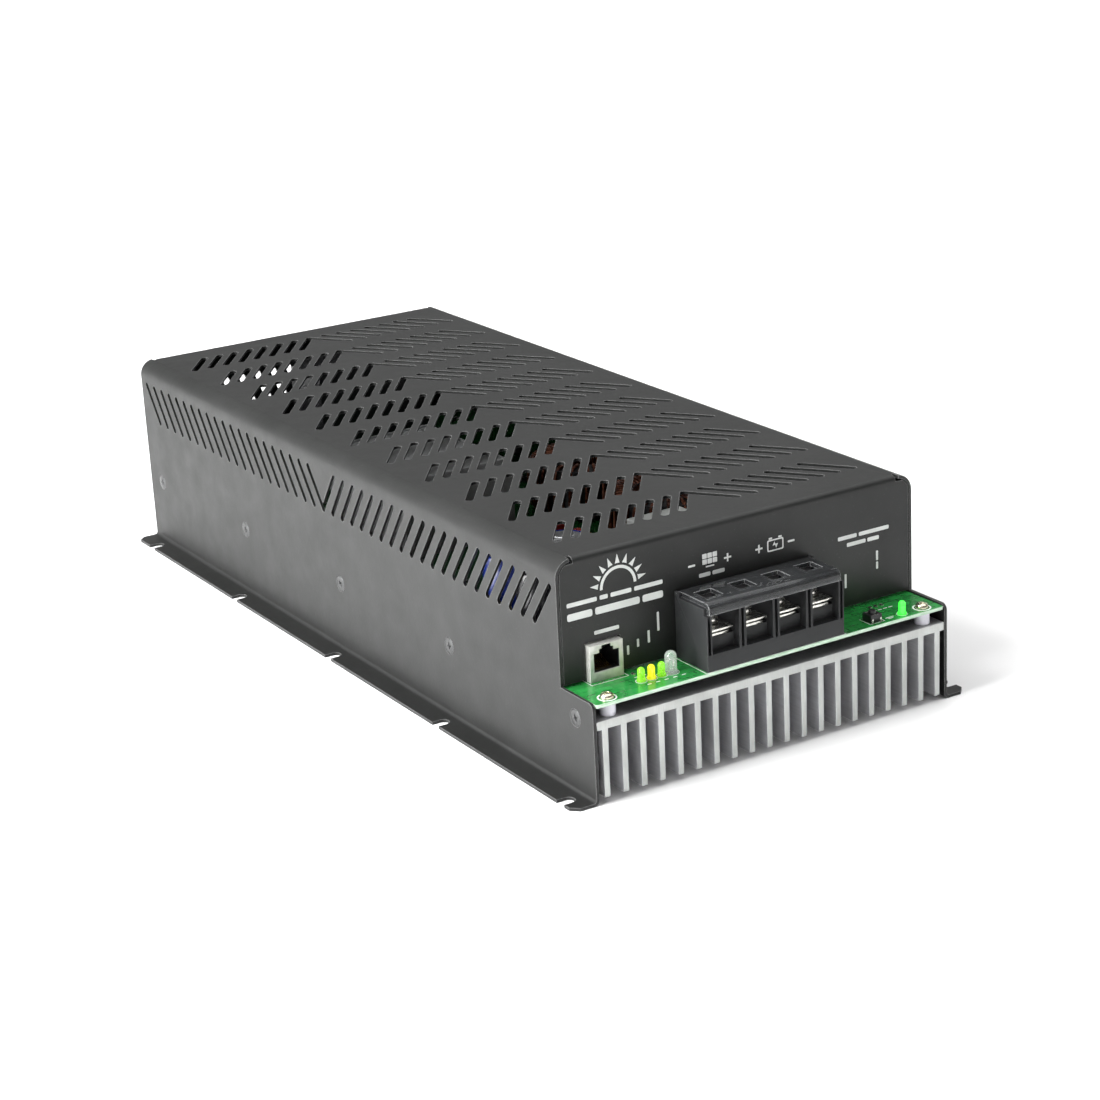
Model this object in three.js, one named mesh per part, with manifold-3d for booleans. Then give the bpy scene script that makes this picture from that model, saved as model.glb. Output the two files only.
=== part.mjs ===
// A finned, wall-mounted solar charge controller: a folded and slotted steel cover over one long aluminium
// heatsink, a circuit board on nylon spacers between them, and a shelf at the front that carries a four-pole
// screw terminal block, a network socket, five indicator lamps and a push button.
//
// Millimetres, +Z up. The origin is the middle of the footprint, on the wall that the flanges are screwed to.
// -Y is the connection end, and +Y is the end whose slotted panel lets the warm air out.
import * as THREE from "three";
import { mergeVertices } from "three/addons/utils/BufferGeometryUtils.js";
import Module from "manifold-3d";

const wasm = await Module();
wasm.setup();

// ---------------------------------------------------------------- driving dimensions
const LENGTH = 458.8; // wall end to wall end
const WIDTH = 190; // over the outside of both walls
const HEIGHT = 102.2; // flange underside to the top sheet
const SHEET = 1.5; // cover steel
const FLANGE_REACH = 11.7; // how far a flange stands out from its wall
const SIDE_BEND = 8; // outer radius where a wall turns into the top
const END_BEND = 2.6; // outer radius where the top turns down at each end
const FLANGE_BEND = 1.5; // inner radius where a wall turns out into its flange
const SHELF_DEPTH = 24.8; // front panel set back from the wall ends
const SHELF_HEIGHT = 46; // walls beside the shelf end here

const FIN_COUNT = 20;
const FIN_PITCH = 9.4;
const FIN_THICKNESS = 3;
const FIN_FOOT = 2.9; // fins stop this far above the wall
const BASE_TOP = 37.7; // face of the heatsink that the board stands over
const BASE_THICKNESS = 3.9;

const SPACER_HEIGHT = 6;
const BOARD_THICKNESS = 1.6;

// ---------------------------------------------------------------- places worked out from them
const FRONT = -LENGTH / 2;
const REAR = LENGTH / 2;
const WALL_OUT = WIDTH / 2;
const WALL_IN = WALL_OUT - SHEET;
const FLANGE_OUT = WALL_OUT + FLANGE_REACH;
const PANEL_FRONT = FRONT + SHELF_DEPTH;
const BOARD_BOTTOM = BASE_TOP + SPACER_HEIGHT;
const BOARD_TOP = BOARD_BOTTOM + BOARD_THICKNESS;
const BASE_MIDDLE = BASE_TOP - BASE_THICKNESS / 2;
const SLIP = 0.3; // clearance between neighbouring pieces
const ROUND = 12; // sides of a small round piece

// ---------------------------------------------------------------- solids and booleans
const X = new THREE.Vector3(1, 0, 0);
const Y = new THREE.Vector3(0, 1, 0);
const Z = new THREE.Vector3(0, 0, 1);

function solid(geometry) {
  const bare = geometry.index ? geometry.toNonIndexed() : geometry.clone();
  bare.deleteAttribute("normal");
  bare.deleteAttribute("uv");
  const merged = mergeVertices(bare, 1e-4);
  return new wasm.Manifold(
    new wasm.Mesh({
      numProp: 3,
      vertProperties: new Float32Array(merged.attributes.position.array),
      triVerts: new Uint32Array(merged.index.array),
    }),
  );
}

function geometryOf(manifold) {
  const mesh = manifold.getMesh();
  const geometry = new THREE.BufferGeometry();
  geometry.setAttribute("position", new THREE.BufferAttribute(mesh.vertProperties, 3));
  geometry.setIndex(new THREE.BufferAttribute(mesh.triVerts, 1));
  const flat = geometry.toNonIndexed();
  flat.computeVertexNormals();
  return flat;
}

function cut(body, ...tools) {
  return tools.reduce((left, tool) => left.subtract(solid(tool)), body);
}

function join(first, ...others) {
  return others.reduce((sum, other) => sum.add(solid(other)), solid(first));
}

function block(x0, x1, y0, y1, z0, z1) {
  const box = new THREE.BoxGeometry(x1 - x0, y1 - y0, z1 - z0);
  return box.translate((x0 + x1) / 2, (y0 + y1) / 2, (z0 + z1) / 2);
}

// A shape drawn in (x, z) and drawn out from y0 to y1.
function alongY(shape, y0, y1, curveSegments = 6) {
  const drawn = new THREE.ExtrudeGeometry(shape, { depth: y1 - y0, bevelEnabled: false, curveSegments });
  return drawn.rotateX(Math.PI / 2).translate(0, y1, 0);
}

// A shape drawn in (y, z) and drawn out from x0 to x1.
function alongX(shape, x0, x1, curveSegments = 6) {
  const drawn = new THREE.ExtrudeGeometry(shape, { depth: x1 - x0, bevelEnabled: false, curveSegments });
  return drawn.applyMatrix4(new THREE.Matrix4().makeBasis(Y, Z, X)).translate(x0, 0, 0);
}

// A shape drawn in (x, y) and drawn out from z0 to z1.
function alongZ(shape, z0, z1, curveSegments = 6) {
  const drawn = new THREE.ExtrudeGeometry(shape, { depth: z1 - z0, bevelEnabled: false, curveSegments });
  return drawn.translate(0, 0, z0);
}

// A turned piece standing on (x, y, z): points are [radius, height], first and last on the axis.
function turned(points, x, y, z, sides = ROUND) {
  const profile = points.map(([radius, height]) => new THREE.Vector2(radius, height));
  return new THREE.LatheGeometry(profile, sides).rotateX(Math.PI / 2).translate(x, y, z);
}

function upright(radius, x, y, z0, z1, sides = ROUND) {
  return turned([[0, 0], [radius, 0], [radius, z1 - z0], [0, z1 - z0]], x, y, z0, sides);
}

function polygon(points) {
  return new THREE.Shape(points.map(([a, b]) => new THREE.Vector2(a, b)));
}

// ---------------------------------------------------------------- materials
function finish(color, roughness, metalness = 0, opacity = 1) {
  return new THREE.MeshStandardMaterial({ color, roughness, metalness, opacity, transparent: opacity < 1 });
}

const paint = {
  blackPowder: finish(0x343635, 0.55, 0.1),
  aluminium: finish(0xb9bcb9, 0.45, 0.9),
  solderMask: finish(0x0c7a22, 0.3),
  nylon: finish(0xe6e7ea, 0.5),
  zinc: finish(0xc9c6b4, 0.3, 0.9),
  blackScrew: finish(0x6a6c6b, 0.45, 0.5),
  terminalPlastic: finish(0x3b3c3e, 0.5),
  smokedClear: finish(0x55585a, 0.15, 0, 0.45),
  nickel: finish(0xc6c7c0, 0.3, 0.85),
  blackPlastic: finish(0x121314, 0.45),
  greenLamp: finish(0x52e020, 0.25, 0, 0.8),
  yellowLamp: finish(0xf0e020, 0.25, 0, 0.8),
  clearLamp: finish(0xdcefe6, 0.1, 0, 0.5),
  capacitorBlue: finish(0x1c2f7c, 0.35),
  capacitorBlack: finish(0x1a1a1c, 0.35),
  chokeGrey: finish(0x6c6e6e, 0.5, 0.6),
  winding: finish(0x4a2a1c, 0.35, 0.6),
  relayWhite: finish(0xd8dad8, 0.5),
  filmRed: finish(0xa02018, 0.4),
};

const controller = new THREE.Group();

function add(name, geometry, material) {
  const shape = geometry instanceof wasm.Manifold ? geometryOf(geometry) : geometry;
  const mesh = new THREE.Mesh(shape, material);
  mesh.name = name;
  controller.add(mesh);
}

// ---------------------------------------------------------------- cover
const CORNER_FLAT = WALL_OUT - SIDE_BEND; // where the flat top meets the side bends
const END_FOLD = CORNER_FLAT - 1; // half width of the folds at the two ends
const PANEL_GAP = 0.4; // between a turned-down panel and the walls beside it
const RELIEF_RADIUS = 1.2; // round relief at each end of a fold

const TOP_VENT_ROWS = 11;
const TOP_VENTS_PER_SIDE = 8;
const TOP_VENT_ROW_PITCH = 37.15;
const TOP_VENT_LAST_TIP = 209.5; // tip of the rearmost row
const TOP_VENT_PITCH = 9.25;
const TOP_VENT_SKEW = 14.7; // how far a vent runs sideways
const TOP_VENT_RUN = 19.9; // and forwards
const VENT_WIDTH = 3.8;

const SIDE_VENTS_PER_HALF = 21;
const SIDE_VENT_PITCH = 9.86;
const SIDE_VENT_MIDDLE = 11.3; // where the two halves lean away from each other
const SIDE_VENT_LOW = 69.6;
const SIDE_VENT_HIGH = 91.5;
const SIDE_VENT_LEAN = 13.7;
const SIDE_VENT_WIDTH = 3.2;

const REAR_VENTS_PER_HALF = 9;
const REAR_VENT_PITCH = 9.9;
const REAR_VENT_LOW = 66;
const REAR_VENT_HIGH = 84;
const REAR_VENT_LEAN = 5.2;

const FIXINGS_PER_SIDE = 5;
const FIXING_PITCH = 107.3;
const SIDE_SCREW_FIRST = -215.4;
const NOTCH_FIRST = -219;
const NOTCH_WIDTH = 6;
const NOTCH_DEPTH = 7; // from the flange's edge to the round end's far side
const PANEL_FOOT = BOARD_TOP + 1; // lower edge of the front panel
const REAR_FOOT = BASE_TOP + 1; // lower edge of the rear panel

// The folded section, seen from the front: flange, wall, top, wall, flange.
function coverSection() {
  const section = new THREE.Shape();
  const bendOut = FLANGE_BEND + SHEET;
  const foot = WALL_OUT + FLANGE_BEND;
  const shoulder = HEIGHT - SIDE_BEND;
  const inner = SIDE_BEND - SHEET;
  section.moveTo(-FLANGE_OUT, 0);
  section.lineTo(-foot, 0);
  section.absarc(-foot, bendOut, bendOut, -Math.PI / 2, 0, false);
  section.lineTo(-WALL_IN, shoulder);
  section.absarc(-CORNER_FLAT, shoulder, inner, Math.PI, Math.PI / 2, true);
  section.lineTo(CORNER_FLAT, HEIGHT - SHEET);
  section.absarc(CORNER_FLAT, shoulder, inner, Math.PI / 2, 0, true);
  section.lineTo(WALL_IN, bendOut);
  section.absarc(foot, bendOut, bendOut, Math.PI, 1.5 * Math.PI, false);
  section.lineTo(FLANGE_OUT, 0);
  section.lineTo(FLANGE_OUT, SHEET);
  section.lineTo(foot, SHEET);
  section.absarc(foot, bendOut, FLANGE_BEND, 1.5 * Math.PI, Math.PI, true);
  section.lineTo(WALL_OUT, shoulder);
  section.absarc(CORNER_FLAT, shoulder, SIDE_BEND, 0, Math.PI / 2, false);
  section.lineTo(-CORNER_FLAT, HEIGHT);
  section.absarc(-CORNER_FLAT, shoulder, SIDE_BEND, Math.PI / 2, Math.PI, false);
  section.lineTo(-WALL_OUT, bendOut);
  section.absarc(-foot, bendOut, FLANGE_BEND, 0, -Math.PI / 2, true);
  section.lineTo(-FLANGE_OUT, SHEET);
  section.closePath();
  return section;
}

// What is cut away above the shelf, seen from the side. It leaves a round corner on each wall's step.
function shelfCutter() {
  const corner = 3;
  const past = 5;
  const shape = new THREE.Shape();
  shape.moveTo(FRONT - past, HEIGHT + past);
  shape.lineTo(FRONT - past, SHELF_HEIGHT - corner);
  shape.lineTo(FRONT, SHELF_HEIGHT - corner);
  shape.absarc(FRONT + corner, SHELF_HEIGHT - corner, corner, Math.PI, Math.PI / 2, true);
  shape.lineTo(PANEL_FRONT, SHELF_HEIGHT);
  shape.lineTo(PANEL_FRONT, HEIGHT + past);
  shape.closePath();
  return alongX(shape, -WIDTH, WIDTH);
}

// One end of the top turned down. outward is -1 at the front and +1 at the rear, and face is the outside of
// the turned-down part, which ends at the height bottom.
function endFold(face, outward, bottom) {
  const centreY = face - outward * END_BEND;
  const centreZ = HEIGHT - END_BEND;
  const start = outward > 0 ? 0 : Math.PI;
  const clockwise = outward < 0;
  const bend = new THREE.Shape();
  bend.absarc(centreY, centreZ, END_BEND, start, Math.PI / 2, clockwise);
  bend.absarc(centreY, centreZ, END_BEND - SHEET, Math.PI / 2, start, !clockwise);
  bend.closePath();

  const shoulder = HEIGHT - SIDE_BEND;
  const cornerRadius = SIDE_BEND - SHEET - PANEL_GAP;
  const side = CORNER_FLAT + cornerRadius;
  const plate = new THREE.Shape();
  plate.moveTo(-side, bottom);
  plate.lineTo(side, bottom);
  plate.absarc(CORNER_FLAT, shoulder, cornerRadius, 0, Math.PI / 2, false);
  plate.lineTo(END_FOLD, shoulder + cornerRadius);
  plate.lineTo(END_FOLD, centreZ);
  plate.lineTo(-END_FOLD, centreZ);
  plate.lineTo(-END_FOLD, shoulder + cornerRadius);
  plate.absarc(-CORNER_FLAT, shoulder, cornerRadius, Math.PI / 2, Math.PI, false);
  plate.closePath();
  const inside = face - outward * SHEET;
  return join(
    alongX(bend, -END_FOLD, END_FOLD, 4),
    alongY(plate, Math.min(face, inside), Math.max(face, inside), 4),
  );
}

// Room for the fold in the top sheet, with a small round relief at each end of the bend line.
function foldRoom(face, outward) {
  const bendLine = face - outward * END_BEND;
  const past = face + outward;
  const y0 = Math.min(bendLine, past);
  const y1 = Math.max(bendLine, past);
  const reliefs = [-1, 1].map((side) =>
    upright(RELIEF_RADIUS, side * (END_FOLD + RELIEF_RADIUS / 2), bendLine, HEIGHT - 2 * SHEET, HEIGHT + 1, 8),
  );
  return [block(-END_FOLD, END_FOLD, y0, y1, HEIGHT - 2 * SHEET, HEIGHT + 1), ...reliefs];
}

// A straight vent of four sides that runs from one point to another in the plane it is drawn in.
function ventOutline(fromA, fromB, toA, toB, width) {
  const along = new THREE.Vector2(toA - fromA, toB - fromB).normalize();
  const across = new THREE.Vector2(-along.y, along.x).multiplyScalar(width / 2);
  const ends = along.multiplyScalar(width / 2);
  return polygon([
    [fromA - ends.x - across.x, fromB - ends.y - across.y],
    [toA + ends.x - across.x, toB + ends.y - across.y],
    [toA + ends.x + across.x, toB + ends.y + across.y],
    [fromA - ends.x + across.x, fromB - ends.y + across.y],
  ]);
}

// Rows of slanting vents that meet in a chevron on the centre line.
function topVents() {
  const vents = [];
  for (let row = 0; row < TOP_VENT_ROWS; row += 1) {
    const tip = TOP_VENT_LAST_TIP - row * TOP_VENT_ROW_PITCH;
    for (const side of [-1, 1]) {
      for (let i = 0; i < TOP_VENTS_PER_SIDE; i += 1) {
        const x = side * i * TOP_VENT_PITCH;
        const outline = ventOutline(x, tip, x + side * TOP_VENT_SKEW, tip - TOP_VENT_RUN, VENT_WIDTH);
        vents.push(alongZ(outline, HEIGHT - 2 * SHEET, HEIGHT + 1));
      }
    }
  }
  return vents;
}

// One row of leaning vents in each wall. The two halves lean away from the middle of the row, where
// their first vents share a foot.
function sideVents() {
  const vents = [];
  for (const half of [-1, 1]) {
    for (let i = 0; i < SIDE_VENTS_PER_HALF; i += 1) {
      const foot = SIDE_VENT_MIDDLE + half * i * SIDE_VENT_PITCH;
      const outline = ventOutline(
        foot,
        SIDE_VENT_LOW + SIDE_VENT_WIDTH / 2,
        foot + half * SIDE_VENT_LEAN,
        SIDE_VENT_HIGH - SIDE_VENT_WIDTH / 2,
        SIDE_VENT_WIDTH,
      );
      vents.push(alongX(outline, -WALL_OUT - 1, -WALL_IN + 1));
      vents.push(alongX(outline, WALL_IN - 1, WALL_OUT + 1));
    }
  }
  return vents;
}

// One row of leaning vents in the rear panel, in two halves like those of the walls.
function rearVents() {
  const vents = [];
  for (const half of [-1, 1]) {
    for (let i = 0; i < REAR_VENTS_PER_HALF; i += 1) {
      const foot = half * i * REAR_VENT_PITCH;
      const outline = ventOutline(
        foot,
        REAR_VENT_LOW + VENT_WIDTH / 2,
        foot + half * REAR_VENT_LEAN,
        REAR_VENT_HIGH - VENT_WIDTH / 2,
        VENT_WIDTH,
      );
      vents.push(alongY(outline, REAR - 2 * SHEET, REAR + 1));
    }
  }
  return vents;
}

function sideScrewPlaces() {
  const places = [];
  for (const side of [-1, 1]) {
    for (let i = 0; i < FIXINGS_PER_SIDE; i += 1) {
      places.push({ side, number: i + 1, y: SIDE_SCREW_FIRST + i * FIXING_PITCH });
    }
  }
  return places;
}

// Turns a piece made along +Z so that its +Z points out of the wall on one side.
function outOfWall(geometry, side, x, y) {
  return geometry.rotateY((side * Math.PI) / 2).translate(side * x, y, BASE_MIDDLE);
}

const SIDE_HEAD = 3.9; // radius of a countersunk head
const SIDE_SHANK = 1.2;
const SIDE_SHANK_LENGTH = 9;

function countersinks() {
  return sideScrewPlaces().map(({ side, y }) => {
    const throat = SIDE_SHANK + SLIP;
    const mouth = SIDE_HEAD + SLIP;
    const profile = [[0, -1], [throat, -1], [throat, 0], [mouth, SHEET], [mouth, SHEET + 1], [0, SHEET + 1]];
    return outOfWall(turned(profile, 0, 0, 0), side, WALL_IN, y);
  });
}

// Open-ended notches in the flanges for the mounting screws.
function flangeNotches() {
  const notches = [];
  const radius = NOTCH_WIDTH / 2;
  for (const side of [-1, 1]) {
    for (let i = 0; i < FIXINGS_PER_SIDE; i += 1) {
      const y = NOTCH_FIRST + i * FIXING_PITCH;
      const centre = side * (FLANGE_OUT - NOTCH_DEPTH + radius);
      const past = side * (FLANGE_OUT + 1);
      const [x0, x1] = [centre, past].sort((a, b) => a - b);
      notches.push(block(x0, x1, y - radius, y + radius, -1, 2 * SHEET));
      notches.push(upright(radius, centre, y, -1, 2 * SHEET));
    }
  }
  return notches;
}

function flangeCorners() {
  const chamfer = 3.5;
  const corners = [];
  for (const side of [-1, 1]) {
    for (const end of [-1, 1]) {
      const x = side * FLANGE_OUT;
      const y = end * REAR;
      const outline = polygon([
        [x - side * chamfer, y],
        [x, y - end * chamfer],
        [x + side, y + end],
      ]);
      corners.push(alongZ(outline, -1, 2 * SHEET));
    }
  }
  return corners;
}

// The network socket stands through a notch in the lower edge of the front panel.
const SOCKET_X = -73.2;
const SOCKET_WIDTH = 16.8;
const SOCKET_FRONT = PANEL_FRONT - 3;
const SOCKET_DEPTH = 21.4;
const SOCKET_TOP = BOARD_TOP + 16.6;

function socketNotch() {
  const room = 2 * SLIP;
  const half = SOCKET_WIDTH / 2 + room;
  const inside = PANEL_FRONT + 2 * SHEET;
  return block(SOCKET_X - half, SOCKET_X + half, PANEL_FRONT - 1, inside, BASE_TOP, SOCKET_TOP + room);
}

function makeCover() {
  const folded = cut(
    solid(alongY(coverSection(), FRONT, REAR, 5)),
    shelfCutter(),
    ...foldRoom(PANEL_FRONT, -1),
    ...foldRoom(REAR, 1),
  );
  const closed = folded.add(endFold(PANEL_FRONT, -1, PANEL_FOOT)).add(endFold(REAR, 1, REAR_FOOT));
  return cut(
    closed,
    ...topVents(),
    ...sideVents(),
    ...rearVents(),
    ...countersinks(),
    ...flangeNotches(),
    ...flangeCorners(),
    socketNotch(),
  );
}

// ---------------------------------------------------------------- heatsink
const BOARD_SCREW_X = 84.5;
const BOARD_SCREW_FRONT = FRONT + 5;
const BOARD_SCREW_REAR = REAR - 24;
const BOARD_SCREW_SHANK = 1.3;
const BOARD_SCREW_HEAD = 3;
const BOARD_SCREW_HEAD_HEIGHT = 2.3;
const SPACER_RADIUS = 3.5;
const BOARD_SIDE_GAP = 0.5; // from the board to each wall
const BOARD_REAR_GAP = 7; // from the board to the rear panel's outside

function boardScrewPlaces() {
  return [
    { name: "front_left", x: -BOARD_SCREW_X, y: BOARD_SCREW_FRONT },
    { name: "front_right", x: BOARD_SCREW_X, y: BOARD_SCREW_FRONT },
    { name: "rear_left", x: -BOARD_SCREW_X, y: BOARD_SCREW_REAR },
    { name: "rear_right", x: BOARD_SCREW_X, y: BOARD_SCREW_REAR },
  ];
}

function makeHeatsink() {
  const side = WALL_IN - SLIP;
  const baseBottom = BASE_TOP - BASE_THICKNESS;
  const outline = [[-side, BASE_TOP], [-side, baseBottom]];
  for (let i = 0; i < FIN_COUNT; i += 1) {
    const middle = (i - (FIN_COUNT - 1) / 2) * FIN_PITCH;
    const left = middle - FIN_THICKNESS / 2;
    const right = middle + FIN_THICKNESS / 2;
    outline.push([left, baseBottom], [left, FIN_FOOT], [right, FIN_FOOT], [right, baseBottom]);
  }
  outline.push([side, baseBottom], [side, BASE_TOP]);
  const sideHoles = sideScrewPlaces().map((place) =>
    outOfWall(upright(SIDE_SHANK + SLIP, 0, 0, -SIDE_SHANK_LENGTH - 1, 1, 8), place.side, WALL_IN, place.y),
  );
  const topHoles = boardScrewPlaces().map(({ x, y }) =>
    upright(BOARD_SCREW_SHANK + SLIP, x, y, baseBottom - 1, BASE_TOP + 1, 8),
  );
  return cut(solid(alongY(polygon(outline), FRONT, REAR)), ...sideHoles, ...topHoles);
}

function addSideScrews() {
  for (const { side, number, y } of sideScrewPlaces()) {
    const profile = [
      [0, -SIDE_SHANK_LENGTH],
      [SIDE_SHANK, -SIDE_SHANK_LENGTH],
      [SIDE_SHANK, 0],
      [SIDE_HEAD, SHEET],
      [0, SHEET],
    ];
    const screw = outOfWall(turned(profile, 0, 0, 0), side, WALL_IN, y);
    add(`side_screw_${side < 0 ? "left" : "right"}_${number}`, solid(screw), paint.blackScrew);
  }
}

// ---------------------------------------------------------------- circuit board and its fixings
function makeBoard() {
  const side = WALL_IN - BOARD_SIDE_GAP;
  const rear = REAR - BOARD_REAR_GAP;
  const holes = boardScrewPlaces().map(({ x, y }) =>
    upright(BOARD_SCREW_SHANK + SLIP, x, y, BOARD_BOTTOM - 1, BOARD_TOP + 1, 8),
  );
  return cut(solid(block(-side, side, FRONT, rear, BOARD_BOTTOM, BOARD_TOP)), ...holes);
}

function addBoardFixings() {
  const reach = BOARD_TOP - BASE_TOP + BASE_THICKNESS - 0.5;
  const rim = BOARD_SCREW_HEAD_HEIGHT * 0.45;
  for (const { name, x, y } of boardScrewPlaces()) {
    const bore = upright(BOARD_SCREW_SHANK + SLIP, x, y, BASE_TOP - 1, BOARD_BOTTOM + 1, 8);
    add(`spacer_${name}`, cut(solid(upright(SPACER_RADIUS, x, y, BASE_TOP, BOARD_BOTTOM)), bore), paint.nylon);
    const profile = [
      [0, -reach],
      [BOARD_SCREW_SHANK, -reach],
      [BOARD_SCREW_SHANK, 0],
      [BOARD_SCREW_HEAD, 0],
      [BOARD_SCREW_HEAD, rim],
      [BOARD_SCREW_HEAD * 0.6, BOARD_SCREW_HEAD_HEIGHT],
      [0, BOARD_SCREW_HEAD_HEIGHT],
    ];
    add(`board_screw_${name}`, solid(turned(profile, x, y, BOARD_TOP)), paint.zinc);
  }
}

// ---------------------------------------------------------------- terminal block
const TERMINAL_X = 0.5;
const TERMINAL_WIDTH = 73;
const POLES = 4;
const POLE_PITCH = 17.8;
const BAY_WIDTH = 14.2;
const TERMINAL_FRONT = FRONT + 0.4;
const TERMINAL_REAR = PANEL_FRONT - 0.6;
const TERMINAL_TOP = 73.5;
const BAY_FLOOR = 53;
const PEDESTAL_FRONT = TERMINAL_FRONT + 4.8;
const PEDESTAL_TOP = 59;
const BAY_REAR = TERMINAL_REAR - 3.8;
const CLAMP_Y = (PEDESTAL_FRONT + BAY_REAR) / 2;
const GUARD_THICKNESS = 2.1;
const GUARD_LIP_FOOT = TERMINAL_TOP - 2.8;
const EAR_THICKNESS = 1.2; // the ears that hold the guard's pins
const PIN_RADIUS = 0.5;
const HINGE_Y = TERMINAL_REAR - GUARD_THICKNESS / 2;
const HINGE_Z = TERMINAL_TOP + SLIP + GUARD_THICKNESS / 2;
const GUARD_BEND = 3; // outer radius where the lid turns down at the front
const GUARD_WINDOW = 9; // square windows over the screws

const SLIT_WIDTH = 1.4; // upright slits in the front of the dividers
const SLIT_DEPTH = 2;
const END_SLIT_SHIFT = 0.35; // the outer slits stand this much nearer the middle

const PLATE_THICKNESS = 1.2; // of the contact and clamp plates
const CONTACT_HALF_WIDTH = 5.2;
const CLAMP_HALF_WIDTH = 6.3;
const CLAMP_OVERHANG = 1.2; // how far a clamp plate stands out over the bay
const CONTACT_TOP = PEDESTAL_TOP + PLATE_THICKNESS;
const CLAMP_GAP = 1.2; // the clamps stand this far open
const CLAMP_BOTTOM = CONTACT_TOP + CLAMP_GAP;
const CLAMP_TOP = CLAMP_BOTTOM + PLATE_THICKNESS;

const SCREW_SHANK = 2;
const SCREW_ROOM = 0.4; // between a screw's shank and its holes
const SCREW_HEAD = 3.9;
const SCREW_HEAD_HEIGHT = 3.4;
const SCREW_TIP = 51;
const SCREW_WELL = 49.4;
const RECESS_HALF_LENGTH = 2.5; // of the cross in a screw's head
const RECESS_HALF_WIDTH = 0.6;
const RECESS_DEPTH = 1.7;

// A round bar on the guard's hinge line, reaching as far to the left as to the right.
function alongHinge(radius, reach) {
  const bar = new THREE.CylinderGeometry(radius, radius, 2 * reach, ROUND).rotateZ(Math.PI / 2);
  return bar.translate(TERMINAL_X, HINGE_Y, HINGE_Z);
}

function poleX(number) {
  return TERMINAL_X + (number - (POLES + 1) / 2) * POLE_PITCH;
}

function makeTerminalBody() {
  const ledge = GUARD_THICKNESS + SLIP;
  const section = polygon([
    [TERMINAL_REAR, BOARD_TOP],
    [TERMINAL_FRONT, BOARD_TOP],
    [TERMINAL_FRONT, GUARD_LIP_FOOT - SLIP],
    [TERMINAL_FRONT + ledge, GUARD_LIP_FOOT - SLIP],
    [TERMINAL_FRONT + ledge, TERMINAL_TOP],
    [TERMINAL_REAR, TERMINAL_TOP],
  ]);
  const half = TERMINAL_WIDTH / 2;
  const ears = [-1, 1].map((side) => {
    const outside = TERMINAL_X + side * half;
    const inside = outside - side * EAR_THICKNESS;
    const earX = [outside, inside].sort((a, b) => a - b);
    const front = HINGE_Y - GUARD_THICKNESS;
    return block(earX[0], earX[1], front, TERMINAL_REAR, TERMINAL_TOP - 1, HINGE_Z + GUARD_THICKNESS / 2);
  });
  const body = join(alongX(section, TERMINAL_X - half, TERMINAL_X + half), ...ears);
  const tools = [alongHinge(PIN_RADIUS + 0.1, half + 1)];
  const above = TERMINAL_TOP + 1;
  const before = TERMINAL_FRONT - 1;
  for (let pole = 1; pole <= POLES; pole += 1) {
    const left = poleX(pole) - BAY_WIDTH / 2;
    const right = poleX(pole) + BAY_WIDTH / 2;
    tools.push(block(left, right, before, PEDESTAL_FRONT, BAY_FLOOR, above));
    tools.push(block(left, right, PEDESTAL_FRONT - 0.1, BAY_REAR, PEDESTAL_TOP, above));
    tools.push(screwHole(pole, SCREW_WELL, PEDESTAL_TOP + 1));
  }
  for (let divider = 0; divider <= POLES; divider += 1) {
    const atEnd = divider === 0 || divider === POLES;
    const middle = poleX(divider) + POLE_PITCH / 2;
    const x = atEnd ? middle - Math.sign(middle - TERMINAL_X) * END_SLIT_SHIFT : middle;
    const half = SLIT_WIDTH / 2;
    tools.push(block(x - half, x + half, before, TERMINAL_FRONT + SLIT_DEPTH, BAY_FLOOR, above));
  }
  return cut(body, ...tools);
}

function screwHole(number, z0, z1) {
  return upright(SCREW_SHANK + SCREW_ROOM, poleX(number), CLAMP_Y, z0, z1);
}

function makeContact(number) {
  const x = poleX(number);
  const half = CONTACT_HALF_WIDTH;
  const plate = block(x - half, x + half, PEDESTAL_FRONT + SLIP, BAY_REAR - SLIP, PEDESTAL_TOP, CONTACT_TOP);
  return cut(solid(plate), screwHole(number, PEDESTAL_TOP - 1, CONTACT_TOP + 1));
}

function makeClamp(number) {
  const x = poleX(number);
  const half = CLAMP_HALF_WIDTH;
  const front = PEDESTAL_FRONT - CLAMP_OVERHANG;
  const plate = block(x - half, x + half, front, BAY_REAR - 1, CLAMP_BOTTOM, CLAMP_TOP);
  return cut(solid(plate), screwHole(number, CLAMP_BOTTOM - 1, CLAMP_TOP + 1));
}

function makeTerminalScrew(number) {
  const x = poleX(number);
  const seat = CLAMP_TOP + SLIP;
  const tip = SCREW_TIP - seat;
  const profile = [
    [0, tip],
    [SCREW_SHANK, tip],
    [SCREW_SHANK, 0],
    [SCREW_HEAD, 0],
    [SCREW_HEAD, SCREW_HEAD_HEIGHT * 0.6],
    [SCREW_HEAD * 0.72, SCREW_HEAD_HEIGHT],
    [0, SCREW_HEAD_HEIGHT],
  ];
  const top = seat + SCREW_HEAD_HEIGHT;
  const arm = RECESS_HALF_LENGTH;
  const blade = RECESS_HALF_WIDTH;
  const recess = top - RECESS_DEPTH;
  return cut(
    solid(turned(profile, x, CLAMP_Y, seat)),
    block(x - arm, x + arm, CLAMP_Y - blade, CLAMP_Y + blade, recess, top + 1),
    block(x - blade, x + blade, CLAMP_Y - arm, CLAMP_Y + arm, recess, top + 1),
  );
}

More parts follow.
